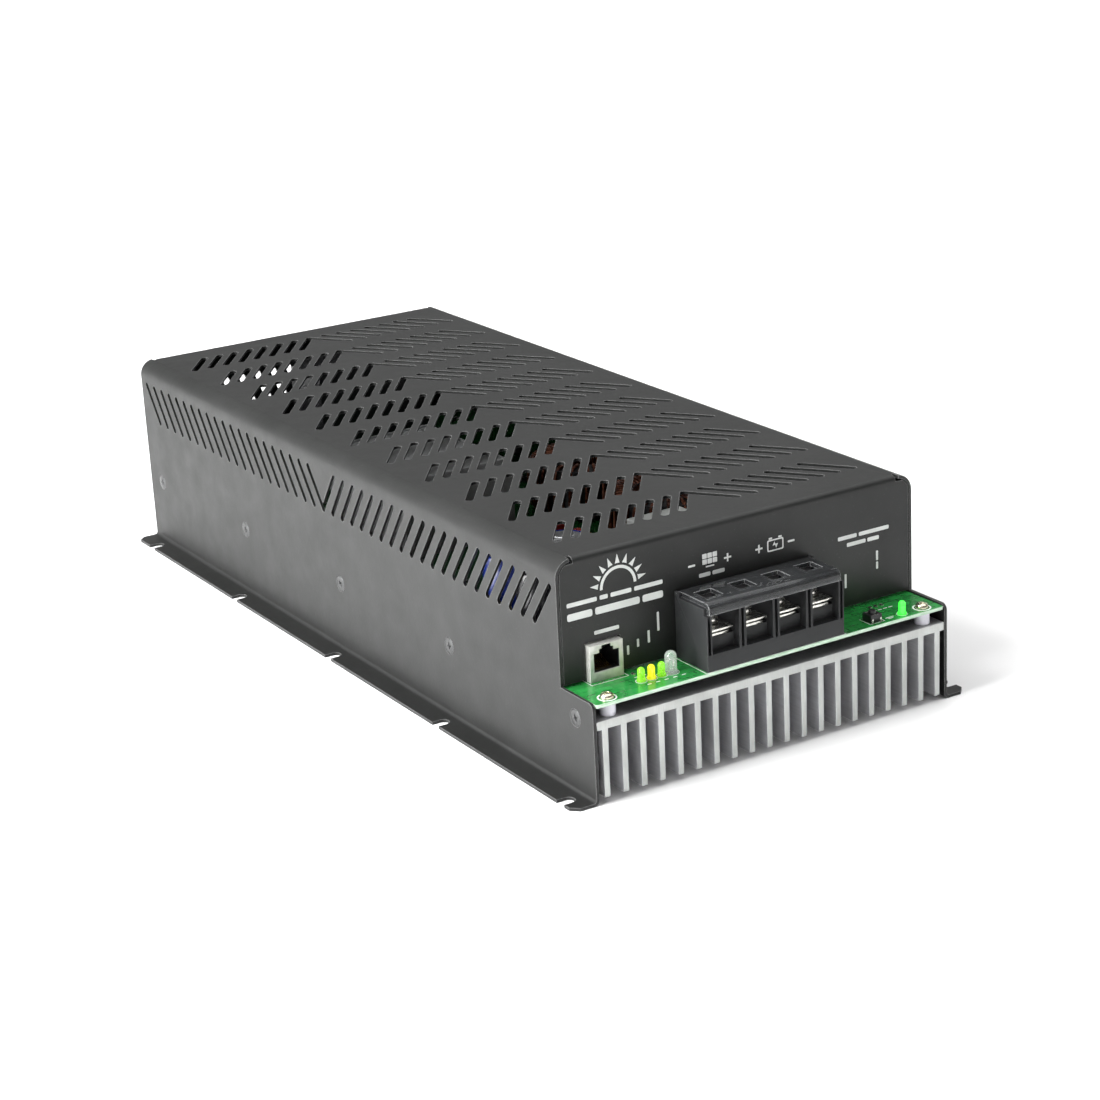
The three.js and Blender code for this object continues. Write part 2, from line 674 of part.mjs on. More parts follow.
// The clear guard: a flat lid over the bays whose front edge rolls down to cover their upper part. It turns on
// two pins at its round rear edge.
function makeGuard() {
  const outer = GUARD_BEND;
  const lid = TERMINAL_TOP + SLIP;
  const top = lid + GUARD_THICKNESS;
  const inside = TERMINAL_FRONT + GUARD_THICKNESS;
  const section = new THREE.Shape();
  section.moveTo(HINGE_Y, lid);
  section.absarc(HINGE_Y, HINGE_Z, GUARD_THICKNESS / 2, -Math.PI / 2, Math.PI / 2, false);
  section.lineTo(TERMINAL_FRONT + outer, top);
  section.absarc(TERMINAL_FRONT + outer, top - outer, outer, Math.PI / 2, Math.PI, false);
  section.lineTo(TERMINAL_FRONT, GUARD_LIP_FOOT);
  section.lineTo(inside, GUARD_LIP_FOOT);
  section.lineTo(inside, top - outer);
  section.absarc(TERMINAL_FRONT + outer, top - outer, outer - GUARD_THICKNESS, Math.PI, Math.PI / 2, true);
  section.closePath();
  const half = TERMINAL_WIDTH / 2 - EAR_THICKNESS - SLIP;
  const windows = [];
  const reach = GUARD_WINDOW / 2;
  for (let pole = 1; pole <= POLES; pole += 1) {
    const x = poleX(pole);
    windows.push(block(x - reach, x + reach, CLAMP_Y - reach, CLAMP_Y + reach, lid - 1, top + 1));
  }
  const lidWithPins = join(
    alongX(section, TERMINAL_X - half, TERMINAL_X + half, 4),
    alongHinge(PIN_RADIUS, TERMINAL_WIDTH / 2 - 0.1),
  );
  return cut(lidWithPins, ...windows);
}

function addTerminals() {
  add("terminal_body", makeTerminalBody(), paint.terminalPlastic);
  for (let pole = 1; pole <= POLES; pole += 1) {
    add(`terminal_contact_${pole}`, makeContact(pole), paint.nickel);
    add(`terminal_clamp_${pole}`, makeClamp(pole), paint.nickel);
    add(`terminal_screw_${pole}`, makeTerminalScrew(pole), paint.nickel);
  }
  add("terminal_guard", makeGuard(), paint.smokedClear);
}

// ---------------------------------------------------------------- network socket
const SOCKET_SKIN = 0.5;
const PLUG_HALF = 6.4;
const PLUG_FLOOR = BOARD_TOP + 4.4;
const PLUG_ROOF = BOARD_TOP + 12.8;
const PLUG_DEPTH = 14;
const LATCH_SHOULDER = { half: 3.6, above: 1.7 }; // the latch's guide over the plug's roof
const LATCH = { half: 2.3, above: 3.1 };

// The stepped mouth of the socket: the plug, its latch's shoulders and the latch itself.
function socketMouth(y0, y1) {
  const shoulder = PLUG_ROOF + LATCH_SHOULDER.above;
  const half = [
    [PLUG_HALF, PLUG_FLOOR],
    [PLUG_HALF, PLUG_ROOF],
    [LATCH_SHOULDER.half, PLUG_ROOF],
    [LATCH_SHOULDER.half, shoulder],
    [LATCH.half, shoulder],
    [LATCH.half, PLUG_ROOF + LATCH.above],
  ];
  const right = half.map(([x, z]) => [SOCKET_X + x, z]);
  const left = half.map(([x, z]) => [SOCKET_X - x, z]).reverse();
  return alongY(polygon([...right, ...left]), y0, y1);
}

function addSocket() {
  const left = SOCKET_X - SOCKET_WIDTH / 2;
  const right = SOCKET_X + SOCKET_WIDTH / 2;
  const rear = SOCKET_FRONT + SOCKET_DEPTH;
  const skin = SOCKET_SKIN;
  const shield = cut(
    solid(block(left, right, SOCKET_FRONT, rear, BOARD_TOP, SOCKET_TOP)),
    block(left + skin, right - skin, SOCKET_FRONT + skin, rear - skin, BOARD_TOP - 1, SOCKET_TOP - skin),
    socketMouth(SOCKET_FRONT - 1, SOCKET_FRONT + 1),
  );
  add("socket_shield", shield, paint.nickel);
  const inset = skin + SLIP;
  const top = SOCKET_TOP - inset;
  const filling = block(left + inset, right - inset, SOCKET_FRONT + inset, rear - inset, BOARD_TOP, top);
  const insert = cut(solid(filling), socketMouth(SOCKET_FRONT - 1, SOCKET_FRONT + PLUG_DEPTH));
  add("socket_insert", insert, paint.blackPlastic);
}

// ---------------------------------------------------------------- lamps and push button
const SMALL_LAMP = { radius: 1.6, height: 6.4 };
const LARGE_LAMP = { radius: 2.6, height: 10 };
const LAMP_RIM = 0.4;
const LAMP_RIM_HEIGHT = 1;
const LAMP_Y = FRONT + 11;
const FIRST_LAMP_X = -63.2;
const LAMP_PITCH = 5.2;
const LOAD_LAMP_X = 72.5;
const LOAD_LAMP_Y = FRONT + 4.2;

function makeLamp({ radius, height }, x, y) {
  const dome = height - radius;
  const rim = radius + LAMP_RIM;
  const profile = [[0, 0], [rim, 0], [rim, LAMP_RIM_HEIGHT], [radius, LAMP_RIM_HEIGHT], [radius, dome]];
  for (const turn of [0.35, 0.7]) {
    const angle = (turn * Math.PI) / 2;
    profile.push([radius * Math.cos(angle), dome + radius * Math.sin(angle)]);
  }
  profile.push([0, height]);
  return solid(turned(profile, x, y, BOARD_TOP));
}

function addLamps() {
  const place = (number) => FIRST_LAMP_X + number * LAMP_PITCH;
  add("lamp_link", makeLamp(SMALL_LAMP, place(0), LAMP_Y), paint.greenLamp);
  add("lamp_activity", makeLamp(SMALL_LAMP, place(1), LAMP_Y), paint.yellowLamp);
  add("lamp_panel", makeLamp(SMALL_LAMP, place(2), LAMP_Y), paint.greenLamp);
  add("lamp_battery", makeLamp(LARGE_LAMP, place(3), LAMP_Y + 0.5), paint.clearLamp);
  add("lamp_load", makeLamp(SMALL_LAMP, LOAD_LAMP_X, LOAD_LAMP_Y), paint.greenLamp);
}

const BUTTON_X = 57.2;
const BUTTON_Y = FRONT + 6.2;
const BUTTON_HALF = 3.1;
const BUTTON_BODY_HEIGHT = 3.5;
const BUTTON_WELL = 1.2; // depth of the hole that the cap stands in
const BUTTON_RADIUS = 1.75;
const BUTTON_PROUD = 1.5; // how far the cap stands out
const BUTTON_TRAVEL = 0.25;

function addButton() {
  const half = BUTTON_HALF;
  const top = BOARD_TOP + BUTTON_BODY_HEIGHT;
  const floor = top - BUTTON_WELL;
  const body = cut(
    solid(block(BUTTON_X - half, BUTTON_X + half, BUTTON_Y - half, BUTTON_Y + half, BOARD_TOP, top)),
    upright(BUTTON_RADIUS + 0.2, BUTTON_X, BUTTON_Y, floor, top + 1),
  );
  add("button_body", body, paint.blackPlastic);
  const foot = floor + BUTTON_TRAVEL + 0.15;
  const cap = upright(BUTTON_RADIUS, BUTTON_X, BUTTON_Y, foot, top + BUTTON_PROUD);
  add("button_cap", solid(cap), paint.blackPlastic);
}

// ---------------------------------------------------------------- what the cover hides
const CAPACITOR = { radius: 12.5, height: 40, bevel: 1.2 };
const CAPACITOR_COLUMNS = [-77, -49.5];
const CAPACITOR_ROWS = [
  { y: -165, sleeve: paint.capacitorBlack },
  { y: -137, sleeve: paint.capacitorBlue },
];

const TOROID = { outer: 31, inner: 14, height: 28, chamfer: 5, x: 50 };
const TOROID_FRONT_Y = -72;
const TOROID_REAR_Y = 0;

const CHOKE_SHOULDER = 3;
const POWER_CHOKE = { x: -35, width: 62, height: 40.7, front: -18, rear: 62 };
const FILTER_CHOKE = { x: 22, width: 68, height: 46, front: 176, rear: 212 };

const TRANSISTOR = { width: 15.8, length: 20.8, thickness: 5, hole: 1.8, holeInset: 5.5 };
const TRANSISTOR_FRONT = 108;
const TRANSISTOR_COLUMNS = [-66, -22, 22, 66];

const FILM_CAPACITOR = { left: -44, right: -12, depth: 15, height: 25 };
const FILM_FRONT_Y = -106;
const FILM_REAR_Y = -82;

const RELAY = { left: -10, right: 20, front: -158, rear: -128, height: 38 };
const CARD = { left: 8, right: 84, front: 58, height: 36 };

function addCapacitors() {
  const { radius, height, bevel } = CAPACITOR;
  const profile = [[0, 0], [radius, 0], [radius, height - bevel], [radius - bevel, height], [0, height]];
  let number = 1;
  for (const { y, sleeve } of CAPACITOR_ROWS) {
    for (const x of CAPACITOR_COLUMNS) {
      add(`capacitor_${number}`, solid(turned(profile, x, y, BOARD_TOP, 20)), sleeve);
      number += 1;
    }
  }
}

// A wound ring core that lies flat.
function makeToroid(y) {
  const { outer, inner, height, chamfer, x } = TOROID;
  const section = [
    [inner, chamfer],
    [inner + chamfer, 0],
    [outer - chamfer, 0],
    [outer, chamfer],
    [outer, height - chamfer],
    [outer - chamfer, height],
    [inner + chamfer, height],
    [inner, height - chamfer],
    [inner, chamfer],
  ];
  return solid(turned(section, x, y, BOARD_TOP + SLIP, 20));
}

// A choke potted in a case whose upper edges are chamfered.
function makeChoke({ x, width, height, front, rear }) {
  const left = x - width / 2;
  const right = x + width / 2;
  const top = BOARD_TOP + height;
  const outline = polygon([
    [left, BOARD_TOP],
    [right, BOARD_TOP],
    [right, top - CHOKE_SHOULDER],
    [right - CHOKE_SHOULDER, top],
    [left + CHOKE_SHOULDER, top],
    [left, top - CHOKE_SHOULDER],
  ]);
  return solid(alongY(outline, front, rear));
}

// A power transistor lying flat on the heatsink, under the board.
function makeTransistor(x) {
  const { width, length, thickness, hole, holeInset } = TRANSISTOR;
  const rear = TRANSISTOR_FRONT + length;
  const top = BASE_TOP + thickness;
  const slab = block(x - width / 2, x + width / 2, TRANSISTOR_FRONT, rear, BASE_TOP, top);
  return cut(solid(slab), upright(hole, x, rear - holeInset, BASE_TOP - 1, top + 1, 10));
}

function makeFilmCapacitor(front) {
  const { left, right, depth, height } = FILM_CAPACITOR;
  return solid(block(left, right, front, front + depth, BOARD_TOP, BOARD_TOP + height));
}

function addInside() {
  addCapacitors();
  add("toroid_front", makeToroid(TOROID_FRONT_Y), paint.winding);
  add("toroid_rear", makeToroid(TOROID_REAR_Y), paint.winding);
  add("power_choke", makeChoke(POWER_CHOKE), paint.chokeGrey);
  add("filter_choke", makeChoke(FILTER_CHOKE), paint.blackPlastic);
  const relay = block(RELAY.left, RELAY.right, RELAY.front, RELAY.rear, BOARD_TOP, BOARD_TOP + RELAY.height);
  add("relay", solid(relay), paint.relayWhite);
  add("film_capacitor_front", makeFilmCapacitor(FILM_FRONT_Y), paint.filmRed);
  add("film_capacitor_rear", makeFilmCapacitor(FILM_REAR_Y), paint.filmRed);
  const cardRear = CARD.front + BOARD_THICKNESS;
  const card = block(CARD.left, CARD.right, CARD.front, cardRear, BOARD_TOP, BOARD_TOP + CARD.height);
  add("control_card", solid(card), paint.solderMask);
  TRANSISTOR_COLUMNS.forEach((x, i) => add(`transistor_${i + 1}`, makeTransistor(x), paint.blackPlastic));
}

// ---------------------------------------------------------------- the whole controller
add("cover", makeCover(), paint.blackPowder);
add("heatsink", makeHeatsink(), paint.aluminium);
addSideScrews();
add("circuit_board", makeBoard(), paint.solderMask);
addBoardFixings();
addTerminals();
addSocket();
addLamps();
addButton();
addInside();

export default controller;
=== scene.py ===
import math
import random

import bmesh
import bpy
from mathutils import Matrix, Vector
from mathutils.geometry import delaunay_2d_cdt


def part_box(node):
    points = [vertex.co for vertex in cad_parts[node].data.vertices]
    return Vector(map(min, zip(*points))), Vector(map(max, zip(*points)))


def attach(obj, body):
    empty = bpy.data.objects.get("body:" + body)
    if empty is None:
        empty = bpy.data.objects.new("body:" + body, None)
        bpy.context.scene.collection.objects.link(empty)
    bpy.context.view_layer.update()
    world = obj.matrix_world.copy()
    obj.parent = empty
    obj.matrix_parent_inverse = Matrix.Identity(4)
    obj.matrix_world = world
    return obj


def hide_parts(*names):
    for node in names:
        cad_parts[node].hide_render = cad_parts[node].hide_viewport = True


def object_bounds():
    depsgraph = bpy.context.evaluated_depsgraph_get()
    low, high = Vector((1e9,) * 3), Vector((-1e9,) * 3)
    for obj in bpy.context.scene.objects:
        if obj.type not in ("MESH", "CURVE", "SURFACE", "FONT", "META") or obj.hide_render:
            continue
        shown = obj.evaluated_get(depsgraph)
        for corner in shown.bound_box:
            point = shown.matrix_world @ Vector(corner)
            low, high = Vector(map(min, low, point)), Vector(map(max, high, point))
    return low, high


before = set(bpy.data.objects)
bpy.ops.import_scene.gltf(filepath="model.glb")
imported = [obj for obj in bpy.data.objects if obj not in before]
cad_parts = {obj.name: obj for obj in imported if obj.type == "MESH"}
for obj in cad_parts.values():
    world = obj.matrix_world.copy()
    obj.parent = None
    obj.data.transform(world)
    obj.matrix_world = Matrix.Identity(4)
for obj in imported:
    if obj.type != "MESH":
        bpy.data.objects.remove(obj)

CAD_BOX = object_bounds()
MM = 0.001
ROOT = "housing"


def corners(node):
    """A CAD node's lowest and highest corners, in millimetres."""
    low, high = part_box(node)
    return low / MM, high / MM


def middle(node):
    low, high = corners(node)
    return (low + high) / 2


def round_sizes(node):
    """A round node's middle, radius and height, with the height of its foot as the middle's z."""
    low, high = corners(node)
    centre = (low + high) / 2
    return Vector((centre.x, centre.y, low.z)), (high.x - low.x) / 2, high.z - low.z


# ---------------------------------------------------------------- sizes taken from the frame, in millimetres
COVER_LOW, COVER_HIGH = corners("cover")
SINK_LOW, SINK_HIGH = corners("heatsink")
BOARD_LOW, BOARD_HIGH = corners("circuit_board")
BLOCK_LOW, BLOCK_HIGH = corners("terminal_body")
SHIELD_LOW, SHIELD_HIGH = corners("socket_shield")

SHEET = 1.5
SLIP = 0.3
SHARP = math.radians(35)  # edges sharper than this are rounded, or shaded as edges
FRONT = COVER_LOW.y
REAR = COVER_HIGH.y - 0.02  # a hair inside the box of the CAD
HEIGHT = COVER_HIGH.z
WALL = SINK_HIGH.x + SLIP + SHEET
PANEL = BLOCK_HIGH.y + 0.6  # the front panel's outer face
BOARD_TOP = BOARD_HIGH.z
SHELF = BOARD_TOP + 0.7  # walls beside the shelf end here

# ---------------------------------------------------------------- mesh building
ORDER = {
    "x": lambda a, b, c: (c, a, b),
    "y": lambda a, b, c: (a, c, b),
    "z": lambda a, b, c: (a, b, c),
}


def add_to_scene(name, data):
    made = bpy.data.objects.new(name, data)
    bpy.context.scene.collection.objects.link(made)
    return made


def box(shape, low, high, material=0):
    """Adds a plain block to a bmesh. Bevels are put on the whole piece later."""
    low, high = Vector(low), Vector(high)
    size = high - low
    place = Matrix.Translation((low + high) / 2) @ Matrix.Diagonal((*size, 1))
    verts = bmesh.ops.create_cube(shape, size=1, matrix=place)["verts"]
    for face in {face for vert in verts for face in vert.link_faces}:
        face.material_index = material


def prism(shape, outline, axis, start, end, material=0):
    """Adds an outline drawn in the plane across axis, drawn out from start to end."""
    order = ORDER[axis]
    first = [shape.verts.new(order(a, b, start)) for a, b in outline]
    last = [shape.verts.new(order(a, b, end)) for a, b in outline]
    faces = [shape.faces.new(first), shape.faces.new(last)]
    for i in range(len(outline)):
        j = (i + 1) % len(outline)
        faces.append(shape.faces.new((first[i], first[j], last[j], last[i])))
    for face in faces:
        face.material_index = material


def lathe(shape, profile, place=(0, 0, 0), sides=32, material=0):
    """Adds a turned form: profile is (radius, height) from the lower end of the axis to the upper."""
    place = Vector(place)
    rings = []
    for radius, height in profile:
        count = 1 if radius == 0 else sides
        ring = []
        for i in range(count):
            angle = math.tau * i / sides
            offset = Vector((radius * math.cos(angle), radius * math.sin(angle), height))
            ring.append(shape.verts.new(place + offset))
        rings.append(ring)
    for low, high in zip(rings, rings[1:]):
        for i in range(sides):
            j = (i + 1) % sides
            corner = [low[i % len(low)], low[j % len(low)], high[j % len(high)], high[i % len(high)]]
            unique = list(dict.fromkeys(corner))
            if len(unique) > 2:
                shape.faces.new(unique).material_index = material


def tube(shape, path, radius, sides=8, material=0):
    """Adds a round bar along a path of points."""
    path = [Vector(point) for point in path]
    rings = []
    normal = None
    for i, point in enumerate(path):
        along = (path[min(i + 1, len(path) - 1)] - path[max(i - 1, 0)]).normalized()
        normal = normal or along.orthogonal()
        normal = (normal - along * normal.dot(along)).normalized()
        side = along.cross(normal)
        turns = [math.tau * k / sides for k in range(sides)]
        spokes = [math.cos(turn) * normal + math.sin(turn) * side for turn in turns]
        rings.append([shape.verts.new(point + radius * spoke) for spoke in spokes])
    faces = [shape.faces.new(rings[0]), shape.faces.new(rings[-1])]
    for low, high in zip(rings, rings[1:]):
        for k in range(sides):
            j = (k + 1) % sides
            faces.append(shape.faces.new((low[k], low[j], high[j], high[k])))
    for face in faces:
        face.material_index = material


def arc(centre, radius, start, end, steps):
    """Points on an arc, angles in degrees."""
    found = []
    for i in range(steps + 1):
        angle = math.radians(start + (end - start) * i / steps)
        found.append((centre[0] + radius * math.cos(angle), centre[1] + radius * math.sin(angle)))
    return found


def rounded(x0, x1, z0, z1, radius, steps=4):
    """Outline of a rectangle with round corners."""
    left, right, low, high = x0 + radius, x1 - radius, z0 + radius, z1 - radius
    points = []
    for i, centre in enumerate(((right, high), (left, high), (left, low), (right, low))):
        points += arc(centre, radius, 90 * i, 90 * i + 90, steps)
    return points


def stadium(start, end, width, steps=7):
    """Outline of a straight slot with round ends, between the centres of its ends."""
    heading = math.degrees(math.atan2(end[1] - start[1], end[0] - start[0]))
    far = arc(end, width / 2, heading - 90, heading + 90, steps)
    near = arc(start, width / 2, heading + 90, heading + 270, steps)
    return far + near


def cad_shape(node):
    """A CAD node's solid as a bmesh in millimetres, with its flat faces whole again."""
    shape = bmesh.new()
    shape.from_mesh(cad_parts[node].data)
    shape.transform(Matrix.Scale(1 / MM, 4))
    bmesh.ops.remove_doubles(shape, verts=shape.verts, dist=1e-3)
    bmesh.ops.dissolve_limit(shape, angle_limit=math.radians(1), verts=shape.verts, edges=shape.edges)
    return shape


def temporary(shape):
    mesh = bpy.data.meshes.new("temporary")
    shape.to_mesh(mesh)
    return add_to_scene("temporary", mesh)


def carve(shape, tool):
    """Cuts one bmesh out of another and gives the result as a new bmesh."""
    body, cutter = temporary(shape), temporary(tool)
    cut = body.modifiers.new("cut", "BOOLEAN")
    cut.object = cutter
    cut.operation = "DIFFERENCE"
    cut.solver = "EXACT"
    bpy.context.view_layer.update()
    result = bmesh.new()
    result.from_object(body, bpy.context.evaluated_depsgraph_get())
    for old in (body, cutter):
        bpy.data.objects.remove(old)
    shape.free()
    tool.free()
    return result


def piece(name, shape, looks, stands_for=(), bevel=0.0, body=ROOT, closed=True, segments=2):
    """Turns a bmesh in millimetres into a named piece that rides on a CAD body."""
    if closed:
        bmesh.ops.recalc_face_normals(shape, faces=shape.faces)
    shape.transform(Matrix.Scale(MM, 4))
    mesh = bpy.data.meshes.new(name)
    shape.to_mesh(mesh)
    shape.free()
    mesh.polygons.foreach_set("use_smooth", [True] * len(mesh.polygons))
    made = add_to_scene(name, mesh)
    for look in looks:
        mesh.materials.append(look)
    if bevel:
        round_edges(made, bevel, segments)
    else:
        mesh.set_sharp_from_angle(angle=SHARP)
    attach(made, body)
    if stands_for:
        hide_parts(*stands_for)
    return made


def round_edges(made, width, segments=2):
    edge = made.modifiers.new("round_edges", "BEVEL")
    edge.width = width * MM
    edge.segments = segments
    edge.limit_method = "ANGLE"
    edge.angle_limit = SHARP
    edge.harden_normals = True


# ---------------------------------------------------------------- material building


class Look:
    """A node material round one Principled shader, in the part's own coordinates."""

    def __init__(self, name, color, roughness, metallic=0.0):
        self.material = bpy.data.materials.new(name)
        self.material.use_nodes = True
        self.tree = self.material.node_tree
        self.shader = self.tree.nodes["Principled BSDF"]
        self.place = self.tree.nodes.new("ShaderNodeTexCoord").outputs["Object"]
        self.set("Base Color", (*color, 1))
        self.set("Roughness", roughness)
        self.set("Metallic", metallic)

    def set(self, socket, value):
        self.shader.inputs[socket].default_value = value

    def wire(self, source, socket):
        self.tree.links.new(source, self.shader.inputs[socket])

    def feed(self, socket, value):
        """Links another node's socket to this one, or sets a plain value on it."""
        if isinstance(value, bpy.types.NodeSocket):
            self.tree.links.new(value, socket)
        else:
            socket.default_value = value

    def node(self, kind, **inputs):
        made = self.tree.nodes.new(kind)
        for name, value in inputs.items():
            self.feed(made.inputs[name.replace("_", " ")], value)
        return made

    def calculate(self, kind, operation, *values):
        made = self.tree.nodes.new(kind)
        made.operation = operation
        for socket, value in zip(made.inputs, values):
            self.feed(socket, value)
        return made.outputs

    def noise(self, size, detail=3.0, stretch=(1, 1, 1)):
        """Soft noise whose blobs are about size millimetres across, drawn out by stretch."""
        scale = tuple(1 / s for s in stretch)
        mapped = self.node("ShaderNodeMapping", Vector=self.place, Scale=scale).outputs["Vector"]
        made = self.node("ShaderNodeTexNoise", Vector=mapped, Scale=1 / (size * MM), Detail=detail)
        return made.outputs["Fac"]

    def edge_wear_and_highlight(self, width=0.35):
        """1 along the edges, within about width millimetres, and 0 on the faces."""
        # this edge mask carries edge wear and also painted edge highlights
        full, none = 0.88, 0.995  # how nearly the rounded normal agrees with the true one
        rounded_normal = self.node("ShaderNodeBevel", Radius=width * MM).outputs["Normal"]
        normal = self.node("ShaderNodeNewGeometry").outputs["Normal"]
        agreement = self.calculate("ShaderNodeVectorMath", "DOT_PRODUCT", rounded_normal, normal)["Value"]
        return self.spread(agreement, full, none, 1, 0)

    def spread(self, value, from_low, from_high, to_low, to_high):
        made = self.node(
            "ShaderNodeMapRange",
            Value=value, From_Min=from_low, From_Max=from_high, To_Min=to_low, To_Max=to_high,
        )
        return made.outputs["Result"]

    def times(self, first, second):
        return self.calculate("ShaderNodeMath", "MULTIPLY", first, second)[0]

    def blend(self, factor, first, second):
        """Mixes two colours, each a tuple or a socket."""
        made = self.tree.nodes.new("ShaderNodeMix")
        made.data_type = "RGBA"
        self.tree.links.new(factor, made.inputs["Factor"])
        for socket, value in ((made.inputs[6], first), (made.inputs[7], second)):
            self.feed(socket, (*value, 1) if isinstance(value, tuple) else value)
        return made.outputs[2]

    def mottle(self, size, detail, first, second):
        """Cloudy patches about size millimetres across, from one colour to the other."""
        return self.blend(self.spread(self.noise(size, detail), 0.3, 0.7, 0, 1), first, second)

    def roughen(self, texture, smoothest, roughest, low=0.3, high=0.7):
        self.wire(self.spread(texture, low, high, smoothest, roughest), "Roughness")

    def relief(self, height, depth):
        """Bumps of about depth millimetres, on top of those already there."""
        made = self.node("ShaderNodeBump", Height=height, Distance=depth * MM, Strength=1.0)
        before = self.shader.inputs["Normal"].links
        if before:
            self.tree.links.new(before[0].from_socket, made.inputs["Normal"])
        self.wire(made.outputs["Normal"], "Normal")


def powder_coat():
    """Satin black powder coat: fine orange peel, faint dust, and rims painted lighter grey as a painted
    highlight.
    """
    look = Look("powder_coat", (0.012, 0.0125, 0.012), 0.44)
    look.set("Specular IOR Level", 0.38)
    dust = look.spread(look.noise(0.9, 2), 0.66, 0.8, 0, 1)
    base = look.mottle(60, 4, (0.01, 0.0105, 0.01), (0.014, 0.0145, 0.014))
    speckled = look.blend(look.times(dust, 0.25), base, (0.09, 0.09, 0.09))
    # painted highlight: the rims are painted light grey where the bevels would catch the light
    look.wire(look.blend(look.times(look.edge_wear_and_highlight(0.4), 0.65), speckled, (0.3, 0.3, 0.3)), "Base Color")
    look.roughen(look.noise(14, 4), 0.4, 0.52, 0.25, 0.75)
    look.relief(look.noise(0.7, 2), 0.03)
    look.relief(look.noise(2.6, 2), 0.03)
    return look.material


def aluminium(name, color, roughness, stretch, lines):
    """Bare aluminium with lines drawn out along one axis."""
    look = Look(name, color, roughness, 0.45)
    drawn = look.noise(lines, 4, stretch)
    darker = tuple(c * 0.72 for c in color)
    stained = look.mottle(22, 4, darker, color)
    streaked = look.blend(look.times(look.spread(drawn, 0.35, 0.75, 0, 1), 0.45), stained, darker)
    look.wire(look.blend(look.times(look.edge_wear_and_highlight(), 0.5), streaked, (0.82, 0.83, 0.82)), "Base Color")
    look.roughen(drawn, roughness - 0.08, roughness + 0.12)
    look.relief(drawn, 0.02)
    return look.material


def solder_mask():
    """Glossy green mask over copper, whose tracks stand up a little. Under the cover it is painted near
    black, as painted shade.
    """
    look = Look("solder_mask", (0.012, 0.16, 0.03), 0.16)
    brick = look.node("ShaderNodeTexBrick", Vector=look.place, Scale=55.0, Mortar_Size=0.035)
    brick.offset = 0.37
    tracks = brick.outputs["Fac"]
    pours = look.spread(look.noise(9, 3), 0.4, 0.6, 0, 1)
    over_copper = look.blend(pours, (0.018, 0.2, 0.04), (0.026, 0.28, 0.055))
    green = look.blend(look.times(tracks, 0.3), over_copper, (0.01, 0.12, 0.024))
    along = look.node("ShaderNodeSeparateXYZ", Vector=look.place)
    skin = 0.2
    upper_side = look.spread(along.outputs["Z"], (BOARD_LOW.z + skin) * MM, (BOARD_TOP - skin) * MM, 0, 1)
    both_sides = look.blend(upper_side, (0.07, 0.08, 0.07), green)
    # painted shade: behind the front panel the mask fades to near black, where the cover shades the board
    painted_shade_fade = look.spread(along.outputs["Y"], (PANEL + 1) * MM, (PANEL + 6) * MM, 1, 0.15)
    look.wire(look.blend(painted_shade_fade, (0.002, 0.008, 0.003), both_sides), "Base Color")
    look.roughen(look.noise(4, 3), 0.12, 0.26)
    look.relief(tracks, -0.03)
    look.relief(look.noise(1.2, 2), 0.006)
    look.set("Coat Weight", 0.4)
    return look.material


def board_edge():
    """The routed edge of a glass-fibre board: pale green, with the weave's fine layers."""
    look = Look("board_edge", (0.5, 0.68, 0.5), 0.5)
    layers = look.noise(0.5, 3, (12, 12, 1))
    weave = look.spread(layers, 0.35, 0.65, 0, 1)
    look.wire(look.blend(weave, (0.4, 0.6, 0.42), (0.66, 0.82, 0.68)), "Base Color")
    look.roughen(layers, 0.4, 0.65)
    look.relief(layers, 0.03)
    return look.material


def plastic(name, color, roughness, grain=0.5, depth=0.02, rim=None, gloss=0.5):
    """Moulded plastic with a spark-eroded grain and edges coloured lighter."""
    look = Look(name, color, roughness)
    look.set("Specular IOR Level", gloss)
    lighter = rim or tuple(min(1, c * 1.8 + 0.02) for c in color)
    duller = tuple(c * 0.82 for c in color)
    base = look.mottle(12, 3, duller, color)
    look.wire(look.blend(look.times(look.edge_wear_and_highlight(), 0.6), base, lighter), "Base Color")
    look.roughen(look.noise(5, 3), roughness - 0.07, roughness + 0.07)
    look.relief(look.noise(grain, 2), depth)
    return look.material


def plated(name, color, roughness, lines=0.6, metallic=0.95):
    """Plated steel or brass with a faint brushed direction, dulled in places."""
    look = Look(name, color, roughness, metallic)
    brushed = look.noise(lines, 3, (6, 1, 1))
    dull = tuple(c * 0.62 for c in color)
    look.wire(look.blend(look.spread(look.noise(3.5, 4), 0.35, 0.7, 0, 0.7), color, dull), "Base Color")
    look.roughen(brushed, roughness - 0.07, roughness + 0.12)
    look.relief(brushed, 0.008)
    return look.material


def smoked_clear():
    """Clear grey plastic, see-through, with moulding ripples and a painted highlight along its edges."""
    look = Look("smoked_clear", (0.12, 0.125, 0.13), 0.06)
    look.set("IOR", 1.4)
    look.set("Specular IOR Level", 0.2)
    smoke = look.mottle(18, 2, (0.1, 0.105, 0.11), (0.14, 0.145, 0.15))
    # painted highlight: the edges are painted near white and made less clear where the light would catch
    # them
    rim = look.edge_wear_and_highlight(0.5)
    look.wire(look.blend(look.times(rim, 0.8), smoke, (0.75, 0.76, 0.76)), "Base Color")
    look.wire(look.spread(rim, 0, 1, 0.8, 0.25), "Transmission Weight")
    look.roughen(look.noise(7, 3), 0.03, 0.1, 0.4, 0.8)
    look.relief(look.noise(20, 1), 0.004)
    return look.material


